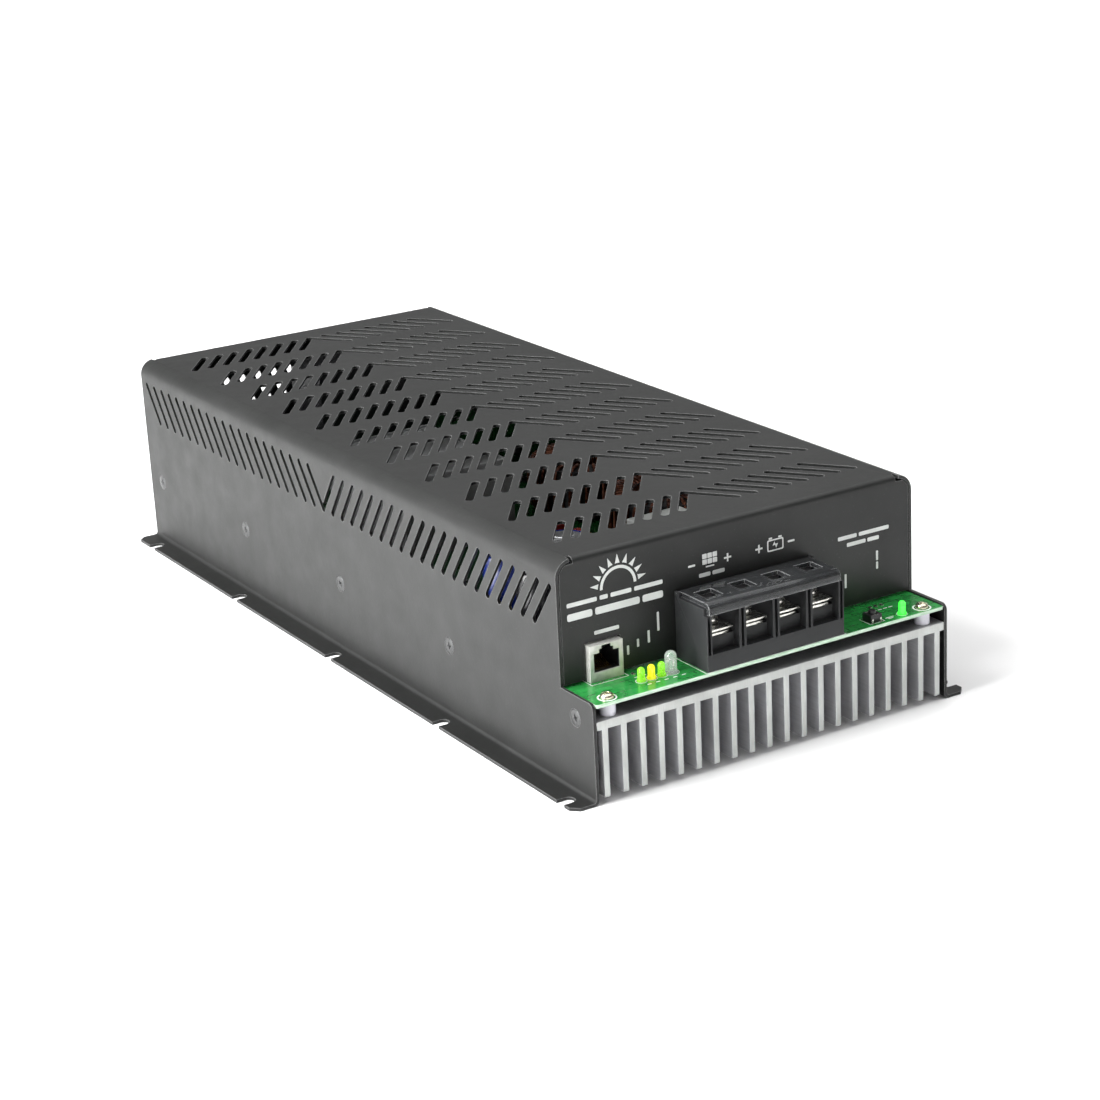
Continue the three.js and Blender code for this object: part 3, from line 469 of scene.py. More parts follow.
def epoxy(name, color, glow, clear):
    """A lamp's epoxy lens. Glow is emission: the lit lamp's own light, and on the unlit lamps a painted
    glow; clear is how far one sees into it.
    """
    look = Look(name, color, 0.12)
    look.set("Transmission Weight", clear)
    look.set("IOR", 1.5)
    inner = tuple(min(1, c * 1.25 + 0.04) for c in color)
    tint = look.mottle(1.8, 2, color, inner)
    look.wire(tint, "Base Color")
    look.wire(tint, "Emission Color")
    # painted glow: the unlit lenses also get emission, which stands in for light caught in the epoxy
    look.set("Emission Strength", glow)
    look.roughen(look.noise(3, 2), 0.08, 0.18)
    look.relief(look.noise(2.4, 2), 0.01)
    return look.material


def winding():
    """Wire in a dark brown, kept near black as painted shade for the inside of the cover, and darker in
    patches where the varnish is thick.
    """
    look = Look("enamelled_winding", (0.09, 0.025, 0.012), 0.3, 0.6)
    varnish = look.spread(look.noise(5, 3), 0.35, 0.65, 0, 1)
    # painted shade: the winding's colour is kept near black for the shade under the cover
    look.wire(look.blend(varnish, (0.04, 0.01, 0.005), (0.14, 0.045, 0.02)), "Base Color")
    look.roughen(look.noise(3, 2), 0.22, 0.42)
    look.relief(look.noise(1.0, 2), 0.01)
    return look.material


def pale_floor():
    """A matt pale floor that glows softly where the lamps no longer reach it."""
    look = Look("pale_floor", (0.9, 0.9, 0.9), 0.75)
    look.wire(look.blend(look.noise(400, 2), (0.88, 0.88, 0.88), (0.92, 0.92, 0.92)), "Base Color")
    reach = look.calculate("ShaderNodeVectorMath", "LENGTH", look.place)["Value"]
    look.set("Emission Color", (1, 1, 1, 1))
    look.wire(look.spread(reach, 1.8, 4.5, 0, 0.9), "Emission Strength")
    return look.material


POWDER = powder_coat()
EXTRUDED = aluminium("extruded_aluminium", (0.6, 0.6, 0.62), 0.5, (1, 60, 1), 0.7)
SAWN = aluminium("sawn_aluminium", (0.56, 0.58, 0.56), 0.45, (1, 1, 14), 0.5)
MASK = solder_mask()
BOARD_EDGE = board_edge()
PRINT_WHITE = plastic("print_white", (0.72, 0.74, 0.72), 0.5, 0.3, 0.004)
NYLON = plastic("nylon", (0.72, 0.72, 0.78), 0.4, 1.2, 0.012)
ZINC = plated("zinc_plate", (0.78, 0.72, 0.55), 0.2)
DARK_SCREW = plated("dark_screw", (0.11, 0.112, 0.112), 0.36)
TERMINAL = plastic("terminal_plastic", (0.026, 0.027, 0.028), 0.42, 0.35, 0.02, (0.1, 0.1, 0.105), 0.22)
SMOKED = smoked_clear()
NICKEL = plated("nickel_plate", (0.7, 0.69, 0.64), 0.22)
TINNED = plated("tinned_plate", (0.66, 0.66, 0.62), 0.42, 0.6, 0.35)
GOLD = plated("gold_plate", (0.75, 0.5, 0.16), 0.2)
BLACK = plastic("black_plastic", (0.012, 0.012, 0.013), 0.35, 0.5, 0.012, (0.06, 0.06, 0.065))
# only the load lamp is lit; the glow of the green, yellow and clear lenses is a painted glow
GREEN_LAMP = epoxy("green_epoxy", (0.35, 0.95, 0.04), 0.3, 0.8)
YELLOW_LAMP = epoxy("yellow_epoxy", (0.95, 0.85, 0.02), 0.4, 0.7)
LIT_LAMP = epoxy("lit_green_epoxy", (0.05, 0.9, 0.06), 0.8, 0.5)
CLEAR_LAMP = epoxy("clear_epoxy", (0.88, 0.98, 0.92), 0.12, 0.9)
BLUE_SLEEVE = plastic("blue_sleeve", (0.01, 0.025, 0.17), 0.22, 3, 0.02)
BLACK_SLEEVE = plastic("black_sleeve", (0.012, 0.012, 0.014), 0.22, 3, 0.02)
CAN_TOP = plated("can_aluminium", (0.72, 0.73, 0.74), 0.32)
POTTED = plastic("potted_case", (0.2, 0.205, 0.205), 0.45, 0.9, 0.03)
COPPER = winding()
RELAY_CASE = plastic("relay_case", (0.5, 0.52, 0.5), 0.4, 0.8, 0.01)
FILM_CASE = plastic("film_case", (0.22, 0.014, 0.01), 0.25, 2, 0.02)

# ---------------------------------------------------------------- cover, drawn flat and then folded
SIDE_BEND = 8.0
END_BEND = 2.6
FLANGE_BEND = 1.5
FOOT = FLANGE_BEND + SHEET
SHOULDER = HEIGHT - SIDE_BEND
FLAT = WALL - SIDE_BEND  # half width of the flat top
FOLD_HALF = FLAT - 1  # half width of the folds at the two ends
SIDE_ARC = SIDE_BEND * math.pi / 2
END_ARC = END_BEND * math.pi / 2
FOOT_ARC = FLANGE_BEND * math.pi / 2
WALL_START = FLAT + SIDE_ARC  # distances from the centre line across the flat sheet
WALL_END = WALL_START + SHOULDER - FOOT
FLANGE_START = WALL_END + FOOT_ARC
FLANGE_END = FLANGE_START + COVER_HIGH.x - WALL - FLANGE_BEND
REAR_FOOT = SINK_HIGH.z + 1
PANEL_FOOT = BOARD_TOP + 1
TAB_CORNER = SIDE_BEND - SHEET - 0.4
TAB_HALF = FLAT + TAB_CORNER

VENT_ROWS = 11
VENTS_PER_SIDE = 8
VENT_ROW_PITCH = 37.15
VENT_LAST_TIP = REAR - 19.9
VENT_PITCH = 9.25
VENT_SKEW = 14.7
VENT_RUN = 19.9
VENT_WIDTH = 3.8
SIDE_VENTS = 21
SIDE_VENT_PITCH = 9.86
SIDE_VENT_MIDDLE = 11.3
SIDE_VENT_HEIGHTS = (69.6, 91.5)
SIDE_VENT_LEAN = 13.7
SIDE_VENT_WIDTH = 3.2
SIDE_SCREWS = range(1, 6)
REAR_VENTS = 9
REAR_VENT_PITCH = 9.9
REAR_VENT_HEIGHTS = (66.0, 84.0)
REAR_VENT_LEAN = 5.2
NOTCH_PITCH = 107.3
NOTCH_FIRST = FRONT + 10.4
NOTCH_WIDTH = 6.0
NOTCH_DEPTH = 7.0
NOTCHES = 5
SCREW_HEAD_RADIUS = 3.9
SCREW_CLEARANCE = 0.15


def on_wall(z):
    """How far across the flat sheet a height on the wall lies."""
    return WALL_START + SHOULDER - z


def tab_half(face, outward, foot):
    """Right half of a turned-down end in the flat, from its lower corner to the bend line."""
    line = face - outward * END_BEND

    def down(z):
        return line + outward * (END_ARC + HEIGHT - END_BEND - z)

    stop = math.degrees(math.asin((HEIGHT - END_BEND - SHOULDER) / TAB_CORNER))
    corner = arc((FLAT, SHOULDER), TAB_CORNER, 0, stop, 6)
    points = [(TAB_HALF, down(foot))]
    points += [(x, down(z)) for x, z in corner]
    points += [(FOLD_HALF, down(HEIGHT - END_BEND)), (FOLD_HALF, line)]
    relief = 0.9
    round_end = arc((FOLD_HALF + relief, line), relief, 180, 180 + outward * 180, 8)
    return points + round_end[1:] + [(FOLD_HALF + 2 * relief, face)]


def notch_points(y):
    radius = NOTCH_WIDTH / 2
    centre = (FLANGE_END - NOTCH_DEPTH + radius, y)
    return [(FLANGE_END, y - radius)] + arc(centre, radius, 270, 90, 10) + [(FLANGE_END, y + radius)]


def flange_points():
    """Outer edge of the right flange in the flat, from the front to the rear."""
    chamfer = 3.5
    points = [(FLANGE_END - chamfer, FRONT), (FLANGE_END, FRONT + chamfer)]
    for i in range(NOTCHES):
        points += notch_points(NOTCH_FIRST + i * NOTCH_PITCH)
    return points + [(FLANGE_END, REAR - chamfer), (FLANGE_END - chamfer, REAR)]


def step_points():
    """From the front panel along the edge beside the shelf to the front end."""
    corner = 3.0
    across = on_wall(SHELF)
    rounding = arc((across + corner, FRONT + corner), corner, 180, 270, 6)
    return [(across, PANEL), *rounding]


def right_outline():
    front = tab_half(PANEL, -1, PANEL_FOOT)
    rear = tab_half(REAR, 1, REAR_FOOT)
    return front + step_points() + flange_points() + rear[::-1]


def socket_gap():
    """The notch for the network socket in the front panel's lower edge, from left to right."""
    room = 0.6
    line = PANEL + END_BEND
    foot = line - END_ARC - (HEIGHT - END_BEND - PANEL_FOOT)
    head = line - END_ARC - (HEIGHT - END_BEND - SHIELD_HIGH.z - room)
    left, right = SHIELD_LOW.x - room, SHIELD_HIGH.x + room
    return [(left, foot), (left, head), (right, head), (right, foot)]


def sheet_outline():
    right = right_outline()
    left = [(-s, t) for s, t in reversed(right)]
    return left + socket_gap() + right


def vent_holes():
    holes = []
    for row in range(VENT_ROWS):
        tip = VENT_LAST_TIP - row * VENT_ROW_PITCH
        for side in (-1, 1):
            for i in range(VENTS_PER_SIDE):
                s = side * i * VENT_PITCH
                holes.append(stadium((s, tip), (s + side * VENT_SKEW, tip - VENT_RUN), VENT_WIDTH))
    low, high = SIDE_VENT_HEIGHTS
    radius = SIDE_VENT_WIDTH / 2
    for side in (-1, 1):
        for half in (-1, 1):
            for i in range(SIDE_VENTS):
                foot = SIDE_VENT_MIDDLE + half * i * SIDE_VENT_PITCH
                start = (side * on_wall(low + radius), foot)
                end = (side * on_wall(high - radius), foot + half * SIDE_VENT_LEAN)
                holes.append(stadium(start, end, SIDE_VENT_WIDTH))
    return holes


def rear_vent_holes():
    low, high = REAR_VENT_HEIGHTS
    radius = VENT_WIDTH / 2
    line = REAR - END_BEND
    past = END_ARC + HEIGHT - END_BEND
    holes = []
    for half in (-1, 1):
        for i in range(REAR_VENTS):
            foot = half * i * REAR_VENT_PITCH
            start = (foot, line + past - low - radius)
            end = (foot + half * REAR_VENT_LEAN, line + past - high + radius)
            holes.append(stadium(start, end, VENT_WIDTH))
    return holes


def screw_holes():
    holes = []
    for side, name in ((-1, "left"), (1, "right")):
        for i in SIDE_SCREWS:
            place = middle(f"side_screw_{name}_{i}")
            centre = (side * on_wall(place.z), place.y)
            holes.append(arc(centre, SCREW_HEAD_RADIUS + SCREW_CLEARANCE, 0, 345, 23))
    return holes


def fold_lines():
    """Lines across the sheet where it bends, close enough together for a smooth bend."""
    lines = []
    for start, length, steps in ((FLAT, SIDE_ARC, 10), (WALL_END, FOOT_ARC, 5)):
        for i in range(steps + 1):
            s = start + length * i / steps
            lines += [((side * s, FRONT - 1), (side * s, REAR + 1)) for side in (-1, 1)]
    for face, outward in ((PANEL, -1), (REAR, 1)):
        for i in range(7):
            t = face - outward * END_BEND + outward * END_ARC * i / 6
            lines.append(((-TAB_HALF - 0.5, t), (TAB_HALF + 0.5, t)))
    return lines


def folded(s, t):
    """Where a point of the flat sheet comes to lie on the folded sheet's outer face."""
    side, across = math.copysign(1, s), abs(s)
    for face, outward in ((PANEL, -1), (REAR, 1)):
        past = (t - face) * outward + END_BEND
        on_tab = past > 0 and across < TAB_HALF + 1
        if on_tab and (across < FOLD_HALF + 0.01 or past > END_BEND + 0.01):
            angle = min(past / END_BEND, math.pi / 2)
            y = face - outward * END_BEND * (1 - math.sin(angle))
            z = HEIGHT - END_BEND * (1 - math.cos(angle)) - max(0, past - END_ARC)
            return Vector((s, y, z))
    if across <= FLAT:
        return Vector((s, t, HEIGHT))
    if across <= WALL_START:
        angle = (across - FLAT) / SIDE_BEND
        x = FLAT + SIDE_BEND * math.sin(angle)
        return Vector((side * x, t, SHOULDER + SIDE_BEND * math.cos(angle)))
    if across <= WALL_END:
        return Vector((side * WALL, t, SHOULDER - across + WALL_START))
    if across <= FLANGE_START:
        angle = (across - WALL_END) / FLANGE_BEND
        x = WALL + FLANGE_BEND * (1 - math.cos(angle))
        return Vector((side * x, t, FOOT - FLANGE_BEND * math.sin(angle)))
    return Vector((side * (WALL + FLANGE_BEND + across - FLANGE_START), t, SHEET))


def counter_clockwise(outline):
    area = sum(a[0] * b[1] - b[0] * a[1] for a, b in zip(outline, outline[1:] + outline[:1]))
    return outline if area > 0 else outline[::-1]


def flat_sheet():
    """Triangles of the flat sheet: its points and its faces, with the holes left out."""
    points, edges, faces = [], [], []
    for outline in [sheet_outline(), *vent_holes(), *rear_vent_holes(), *screw_holes()]:
        start = len(points)
        points += [Vector(p) for p in counter_clockwise(outline)]
        faces.append(list(range(start, len(points))))
    for start, end in fold_lines():
        edges.append((len(points), len(points) + 1))
        points += [Vector(start), Vector(end)]
    found = delaunay_2d_cdt(points, edges, faces, 0, 1e-4)
    inside = [face for face, source in zip(found[2], found[5]) if list(source) == [0]]
    return found[0], inside


def make_cover():
    points, faces = flat_sheet()
    shape = bmesh.new()
    verts = [shape.verts.new(folded(*point)) for point in points]
    for face in faces:
        shape.faces.new([verts[i] for i in face])
    bmesh.ops.delete(shape, geom=[v for v in shape.verts if not v.link_faces], context="VERTS")
    bmesh.ops.dissolve_limit(
        shape, angle_limit=math.radians(0.5), verts=shape.verts, edges=shape.edges, delimit={"SHARP"}
    )
    made = piece("cover_sheet", shape, [POWDER], ["cover"], closed=False)
    thick = made.modifiers.new("sheet", "SOLIDIFY")
    thick.thickness = SHEET * MM
    thick.offset = -1
    thick.use_even_offset = True
    round_edges(made, 0.22)


# ---------------------------------------------------------------- heatsink
FIN_COUNT = 20
FIN_PITCH = 9.4
FIN_THICKNESS = 3.0
BASE_THICKNESS = 3.9


def make_heatsink():
    base = SINK_HIGH.z - BASE_THICKNESS
    foot = SINK_LOW.z
    outline = [(SINK_LOW.x, SINK_HIGH.z), (SINK_LOW.x, base)]
    for i in range(FIN_COUNT):
        centre = (i - (FIN_COUNT - 1) / 2) * FIN_PITCH
        left, right = centre - FIN_THICKNESS / 2, centre + FIN_THICKNESS / 2
        tip = 0.35
        outline += [(left, base), (left + tip / 2, foot), (right - tip / 2, foot), (right, base)]
    outline += [(SINK_HIGH.x, base), (SINK_HIGH.x, SINK_HIGH.z)]
    shape = bmesh.new()
    prism(shape, outline, "y", SINK_LOW.y, SINK_HIGH.y)
    for face in shape.faces:
        face.normal_update()
        face.material_index = 1 if abs(face.normal.y) > 0.9 else 0
    piece("heatsink_extrusion", shape, [EXTRUDED, SAWN], ["heatsink"], bevel=0.2)


# ---------------------------------------------------------------- screws


def blade(half_long, half_wide, top, depth, turn):
    """One of the two crossed wedges of a cross recess."""
    shape = bmesh.new()
    made = bmesh.ops.create_cube(shape, size=2)["verts"]
    for vert in made:
        narrow = 1 if vert.co.z > 0 else 0.35
        z = top + 0.4 if vert.co.z > 0 else top - depth
        vert.co = Vector((vert.co.x * half_long * narrow, vert.co.y * half_wide * (0.7 + 0.3 * narrow), z))
    bmesh.ops.rotate(shape, verts=made, matrix=Matrix.Rotation(math.radians(turn), 3, "Z"))
    return shape


def cross_head(profile, half_long, half_wide, depth, turn=20):
    """A turned screw with a cross recess in its upper end."""
    shape = bmesh.new()
    lathe(shape, profile, sides=36)
    bmesh.ops.recalc_face_normals(shape, faces=shape.faces)
    top = profile[-1][1]
    for extra in (0, 90):
        shape = carve(shape, blade(half_long, half_wide, top, depth, turn + extra))
    return shape


def make_side_screws():
    radius = SCREW_HEAD_RADIUS
    profile = [(0, -8.9), (1.2, -8.9), (1.2, -1.5), (radius, -0.1), (radius - 0.15, 0), (0, 0)]
    random.seed(4)
    for side, name in ((-1, "left"), (1, "right")):
        for i in SIDE_SCREWS:
            node = f"side_screw_{name}_{i}"
            screw = cross_head(profile, 2.0, 0.42, 1.1, random.uniform(0, 90))
            place = middle(node)
            turn = Matrix.Rotation(math.radians(90 * side), 4, "Y")
            screw.transform(Matrix.Translation((side * WALL, place.y, place.z)) @ turn)
            new_name = f"side_screw_head_{name}_{i}"
            piece(new_name, screw, [DARK_SCREW], [node], bevel=0.06, segments=1)


def make_board_fixings():
    height = 2.3
    shank = [(0.0, -13.0), (1.3, -13.0), (1.3, 0.0)]
    dome = [(3.0, 0.0), (3.0, 0.7), (2.8, 1.3), (2.3, 1.85), (1.5, 2.2), (0, height)]
    for name in ("front_left", "front_right", "rear_left", "rear_right"):
        node = f"board_screw_{name}"
        place = middle(node)
        low = corners(node)[0].z
        profile = [(r, max(h, low - BOARD_TOP)) for r, h in shank + dome]
        screw = cross_head(profile, 1.75, 0.42, 1.5, 35)
        screw.transform(Matrix.Translation((place.x, place.y, BOARD_TOP)))
        piece(f"board_screw_head_{name}", screw, [ZINC], [node], bevel=0.05, segments=1)
        make_spacer(name)


def make_spacer(name):
    """A nylon tube with softly rounded rims."""
    foot, radius, tall = round_sizes(f"spacer_{name}")
    rim = 0.35
    bore = 1.7
    outside = [(radius - rim, 0), (radius, rim), (radius, tall - rim), (radius - rim, tall)]
    shape = bmesh.new()
    lathe(shape, [(bore, 0), *outside, (bore, tall), (bore, 0)], foot, 32)
    bmesh.ops.remove_doubles(shape, verts=shape.verts, dist=1e-4)
    piece(f"nylon_spacer_{name}", shape, [NYLON], [f"spacer_{name}"])


# ---------------------------------------------------------------- circuit board


def make_board():
    shape = bmesh.new()
    outline = rounded(BOARD_LOW.x, BOARD_HIGH.x, BOARD_LOW.y, BOARD_HIGH.y, 1.0)
    prism(shape, outline, "z", BOARD_LOW.z, BOARD_HIGH.z)
    for face in shape.faces:
        face.normal_update()
        face.material_index = 0 if abs(face.normal.z) > 0.9 else 1
    looks = [MASK, BOARD_EDGE]
    piece("board_laminate", shape, looks, ["circuit_board"], bevel=0.08, segments=1)


def line(shape, start, end, width, low, high):
    """A printed line on the board."""
    prism(shape, stadium(start, end, width, 3), "z", low, high)


def ring(shape, centre, inner, outer, low, high, sides=32):
    profile = [(inner, low), (outer, low), (outer, high), (inner, high), (inner, low)]
    lathe(shape, profile, (centre.x, centre.y, 0), sides)


def make_board_print():
    """Outlines printed on the shelf of the board round what stands on it."""
    low, high = BOARD_TOP, BOARD_TOP + 0.05
    shape = bmesh.new()
    for name in ("front_left", "front_right"):
        ring(shape, middle(f"board_screw_{name}"), 3.6, 4.3, low, high)
    for name, _, _ in LAMPS:
        foot, radius, _ = round_sizes(f"lamp_{name}")
        ring(shape, foot, radius + 0.35, radius + 0.6, low, high)
    print_frames(shape, low, high)
    print_labels(shape, low, high)
    bmesh.ops.remove_doubles(shape, verts=shape.verts, dist=1e-4)
    piece("board_print", shape, [PRINT_WHITE])


def print_frames(shape, low, high):
    """Three sides of a box round the button, the terminal block and the socket."""
    button_low, button_high = corners("button_body")
    edge = 0.9
    frames = [(button_low.x - edge, button_high.x + edge, button_low.y - edge + 0.2, button_high.y + edge)]
    frames.append((BLOCK_LOW.x - edge, BLOCK_HIGH.x + edge, FRONT + 0.3, PANEL + 2))
    frames.append((SHIELD_LOW.x - edge, SHIELD_HIGH.x + edge, SHIELD_LOW.y - 2.2, PANEL + 2))
    for x0, x1, y0, y1 in frames:
        for start, end in (((x0, y0), (x0, y1)), ((x1, y0), (x1, y1)), ((x0, y0), (x1, y0))):
            line(shape, start, end, 0.3, low, high)


def print_labels(shape, low, high):
    """Short dashes by the lamps, where the object carries small labels."""
    lamp = middle("lamp_link")
    for i in range(5):
        x = lamp.x + i * 4.4
        line(shape, (x, lamp.y - 5.0), (x + 1.6, lamp.y - 5.0), 0.5, low, high)
        line(shape, (x, lamp.y + 5.0), (x + 1.2, lamp.y + 5.0), 0.5, low, high)
    load = middle("lamp_load")
    line(shape, (load.x - 9, load.y + 0.2), (load.x - 5, load.y + 0.2), 0.7, low, high)
    line(shape, (load.x - 8.2, load.y - 1.0), (load.x - 6, load.y - 1.0), 0.5, low, high)
    y = load.y + 10.5
    for i in range(4):
        line(shape, (load.x - 8 + i * 3, y), (load.x - 6.4 + i * 3, y), 0.6, low, high)


def small_part(shape, x, y, long, wide, tall, turned):
    """A surface-mounted part with a metal cap at each end."""
    half = Vector((long / 2, wide / 2, 0))
    cap = long * 0.22
    if turned:
        half = Vector((half.y, half.x, 0))
    centre = Vector((x, y, BOARD_TOP))
    top = Vector((0, 0, tall))
    box(shape, centre - half, centre + half + top, 0)
    for end in (-1, 1):
        reach = Vector((0, end * half.y, 0)) if turned else Vector((end * half.x, 0, 0))
        inset = Vector((0, end * cap, 0)) if turned else Vector((end * cap, 0, 0))
        grow = Vector((0.03, 0.03, 0))
        a, b = centre + reach, centre + reach - inset
        spread = Vector((half.x, 0, 0)) if turned else Vector((0, half.y, 0))
        low = Vector(map(min, a - spread, b - spread)) - grow
        high = Vector(map(max, a + spread, b + spread)) + grow + top * 1.04
        box(shape, low, high, 1)


def make_small_parts():
    """Rows of small parts on the board: behind the lamps, by the button and across the inside."""
    random.seed(11)
    shape = bmesh.new()
    lamp = middle("lamp_link")
    for i in range(4):
        small_part(shape, lamp.x + 1.5 + i * 4.6, lamp.y + 8.6, 2.0, 1.2, 0.6, i % 2 == 0)
    load = middle("lamp_load")
    for i in range(3):
        small_part(shape, load.x - 6.5 + i * 3.2, load.y + 14.5, 2.0, 1.25, 0.6, True)
    for row in range(18):
        for column in range(7):
            x = -80 + column * 26 + random.uniform(-6, 6)
            y = -195 + row * 22 + random.uniform(-5, 5)
            if not occupied(x, y, 4):
                long = random.choice((2.0, 3.2, 4.6))
                small_part(shape, x, y, long, long * 0.55, long * 0.3, random.random() < 0.5)
    piece("surface_parts", shape, [BLACK, NICKEL], bevel=0.06, segments=1)


INSIDE_NODES = (
    [f"capacitor_{i}" for i in range(1, 5)]
    + ["toroid_front", "toroid_rear", "power_choke", "filter_choke", "relay"]
    + ["film_capacitor_front", "film_capacitor_rear", "control_card", "socket_shield"]
    + [f"board_screw_{name}" for name in ("rear_left", "rear_right")]
)


def occupied(x, y, room):
    """Whether a larger part stands on this place of the board."""
    for node in INSIDE_NODES:
        low, high = corners(node)
        if low.x - room < x < high.x + room and low.y - room < y < high.y + room:
            return True
    return not BOARD_LOW.y + room < y < BOARD_HIGH.y - room


# ---------------------------------------------------------------- terminals


def make_terminal_block():
    body = cad_shape("terminal_body")
    piece("terminal_moulding", body, [TERMINAL], ["terminal_body"], bevel=0.22)
    for i in range(1, 5):
        node = f"terminal_contact_{i}"
        piece(f"contact_plate_{i}", cad_shape(node), [NICKEL], [node], bevel=0.18)
        node = f"terminal_clamp_{i}"
        piece(f"clamp_plate_{i}", cad_shape(node), [NICKEL], [node], bevel=0.25, body=f"clamp_{i}")
        make_terminal_screw(i)
    lid = cad_shape("terminal_guard")
    piece("guard_lid", lid, [SMOKED], ["terminal_guard"], bevel=0.3, body="guard")


def make_terminal_screw(number):
    node = f"terminal_screw_{number}"
    low, high = corners(node)
    centre = (low + high) / 2
    radius = (high.x - low.x) / 2
    seat = 3.4  # height of the head
    shank = low.z - high.z + seat
    body = f"screw_{number}"
    threads = []
    pitch = 0.7
    turns = int((-shank - 0.6) / pitch)
    for i in range(turns):
        base = shank + 0.3 + i * pitch
        threads += [(1.65, base), (2.0, base + pitch * 0.5)]
    head = [(radius - 0.1, 0), (radius, 0.15), (radius, seat * 0.55)]
    head += [(radius * 0.93, seat * 0.8), (radius * 0.7, seat)]
    profile = [(0, shank), (1.5, shank), *threads, (1.65, -0.05), *head, (0, seat)]
    screw = cross_head(profile, 2.6, 0.55, 1.9, 12 + 21 * number)
    screw.transform(Matrix.Translation((centre.x, centre.y, high.z - seat)))
    piece(f"clamp_screw_{number}", screw, [NICKEL], [node], bevel=0.08, body=body, segments=1)


# ---------------------------------------------------------------- network socket


def make_socket():
    shield = cad_shape("socket_shield")
    centre = (SHIELD_LOW.x + SHIELD_HIGH.x) / 2
    for side in (-1, 1):
        outer = SHIELD_HIGH.x if side > 0 else SHIELD_LOW.x
        x0, x1 = sorted((outer - side * 0.5, outer + side * 0.25))
        box(shield, (x0, SHIELD_LOW.y + 5, BOARD_TOP + 6), (x1, SHIELD_LOW.y + 12, BOARD_TOP + 9.5))
    low = (centre - 3, SHIELD_LOW.y + 6, SHIELD_HIGH.z - 0.5)
    box(shield, low, (centre + 3, SHIELD_LOW.y + 12, SHIELD_HIGH.z + 0.2))
    piece("socket_shell", shield, [TINNED], ["socket_shield"], bevel=0.14)
    insert = cad_shape("socket_insert")
    piece("socket_moulding", insert, [BLACK], ["socket_insert"], bevel=0.1)
    make_socket_contacts(centre)


def make_socket_contacts(centre):
    """Eight sprung wires that slant up from the mouth's floor."""
    shape = bmesh.new()
    pitch = 1.02
    floor = BOARD_TOP + 4.5
    front = SHIELD_LOW.y + 3.2
    slant = ((0, 0.1), (1, 0.25), (9, 3.6), (10.5, 3.9))  # distances behind the front and over the floor
    for i in range(8):
        x = centre + (i - 3.5) * pitch
        path = [(x, front + back, floor + up) for back, up in slant]
        tube(shape, path, 0.22)
    piece("socket_contacts", shape, [GOLD])


# ---------------------------------------------------------------- lamps and button
LAMPS = (
    ("link", GREEN_LAMP, "green_lamp"),
    ("activity", YELLOW_LAMP, "yellow_lamp"),
    ("panel", GREEN_LAMP, "green_lamp"),
    ("battery", CLEAR_LAMP, "clear_lamp"),
    ("load", LIT_LAMP, "green_lamp"),
)


def make_lamp(name, look, slot):
    place, flange, tall = round_sizes(f"lamp_{name}")
    radius = flange - 0.4
    neck = tall - radius
    profile = [(0, 0), (flange - 0.1, 0), (flange, 0.12), (flange, 0.88), (flange - 0.12, 1.0)]
    profile += [(radius, 1.05), (radius, neck)]
    dome = arc((0, neck), radius, 8, 82, 8)
    shape = bmesh.new()
    lathe(shape, [*profile, *dome, (0, tall)], place, 36)
    piece(f"lens_{name}", shape, [look], [f"lamp_{name}"])
    make_lead_frame(name, place, tall, radius)


def make_lead_frame(name, place, tall, radius):
    """The post and the anvil inside a lamp, which show through its lens."""
    shape = bmesh.new()
    near, far = radius * 0.35, radius * 0.3
    half = 0.2
    foot = place.z + 0.2
    cup = place.z + tall * 0.58
    for x, top in ((place.x - near, cup), (place.x + far, cup - 0.3)):
        box(shape, (x - half, place.y - half, foot), (x + half, place.y + half, top))
    cup_profile = [(0, 0), (0.35, 0), (0.6, 0.6), (0.35, 0.35), (0, 0.3)]
    lathe(shape, cup_profile, (place.x - near * 0.4, place.y, cup - 0.2), 20)
    piece(f"lead_frame_{name}", shape, [NICKEL], bevel=0.04, segments=1)


def make_button():
    low, high = corners("button_body")
    centre = (low + high) / 2
    body = cad_shape("button_body")
    for x in (-1, 1):
        for y in (-1, 1):
            corner = (centre.x + x * 2.4, centre.y + y * 2.4, high.z - 0.05)
            lathe(body, [(0, 0), (0.42, 0), (0.42, 0.2), (0.3, 0.3), (0, 0.3)], corner, 16)
    piece("switch_case", body, [BLACK], ["button_body"], bevel=0.12)
    legs = bmesh.new()
    for x in (-1, 1):
        for y in (-1, 1):
            outer = centre.y + y * 3.1
            y0, y1 = sorted((outer, outer + y * 0.35))
            leg_x = centre.x + x * 2.25
            box(legs, (leg_x - 0.35, y0, BOARD_TOP), (leg_x + 0.35, y1, BOARD_TOP + 1.9))
            foot = sorted((outer, outer + y * 0.9))
            box(legs, (leg_x - 0.55, foot[0], BOARD_TOP), (leg_x + 0.55, foot[1], BOARD_TOP + 0.25))
    plate = high.z - 0.02
    box(legs, (low.x + 0.5, high.y - 0.9, plate), (high.x - 0.5, high.y - 0.45, plate + 0.08))
    box(legs, (low.x + 0.5, low.y + 0.45, plate), (high.x - 0.5, low.y + 0.9, plate + 0.08))
    piece("switch_legs", legs, [NICKEL], bevel=0.06, segments=1)
    make_button_cap()


def make_button_cap():
    foot, radius, tall = round_sizes("button_cap")
    rim, dish = 0.25, 0.08
    profile = [(0, 0), (radius, 0), (radius, tall - rim)]
    profile += [(radius - dish, tall - dish), (radius - rim, tall), (0, tall - dish)]
    shape = bmesh.new()
    lathe(shape, profile, foot, 36)
    piece("switch_plunger", shape, [BLACK], ["button_cap"], body="button")


# ---------------------------------------------------------------- signs printed on the front panel
PRINT_THICK = 0.06


def sign(shape, outline):
    prism(shape, outline, "y", PANEL - PRINT_THICK, PANEL)


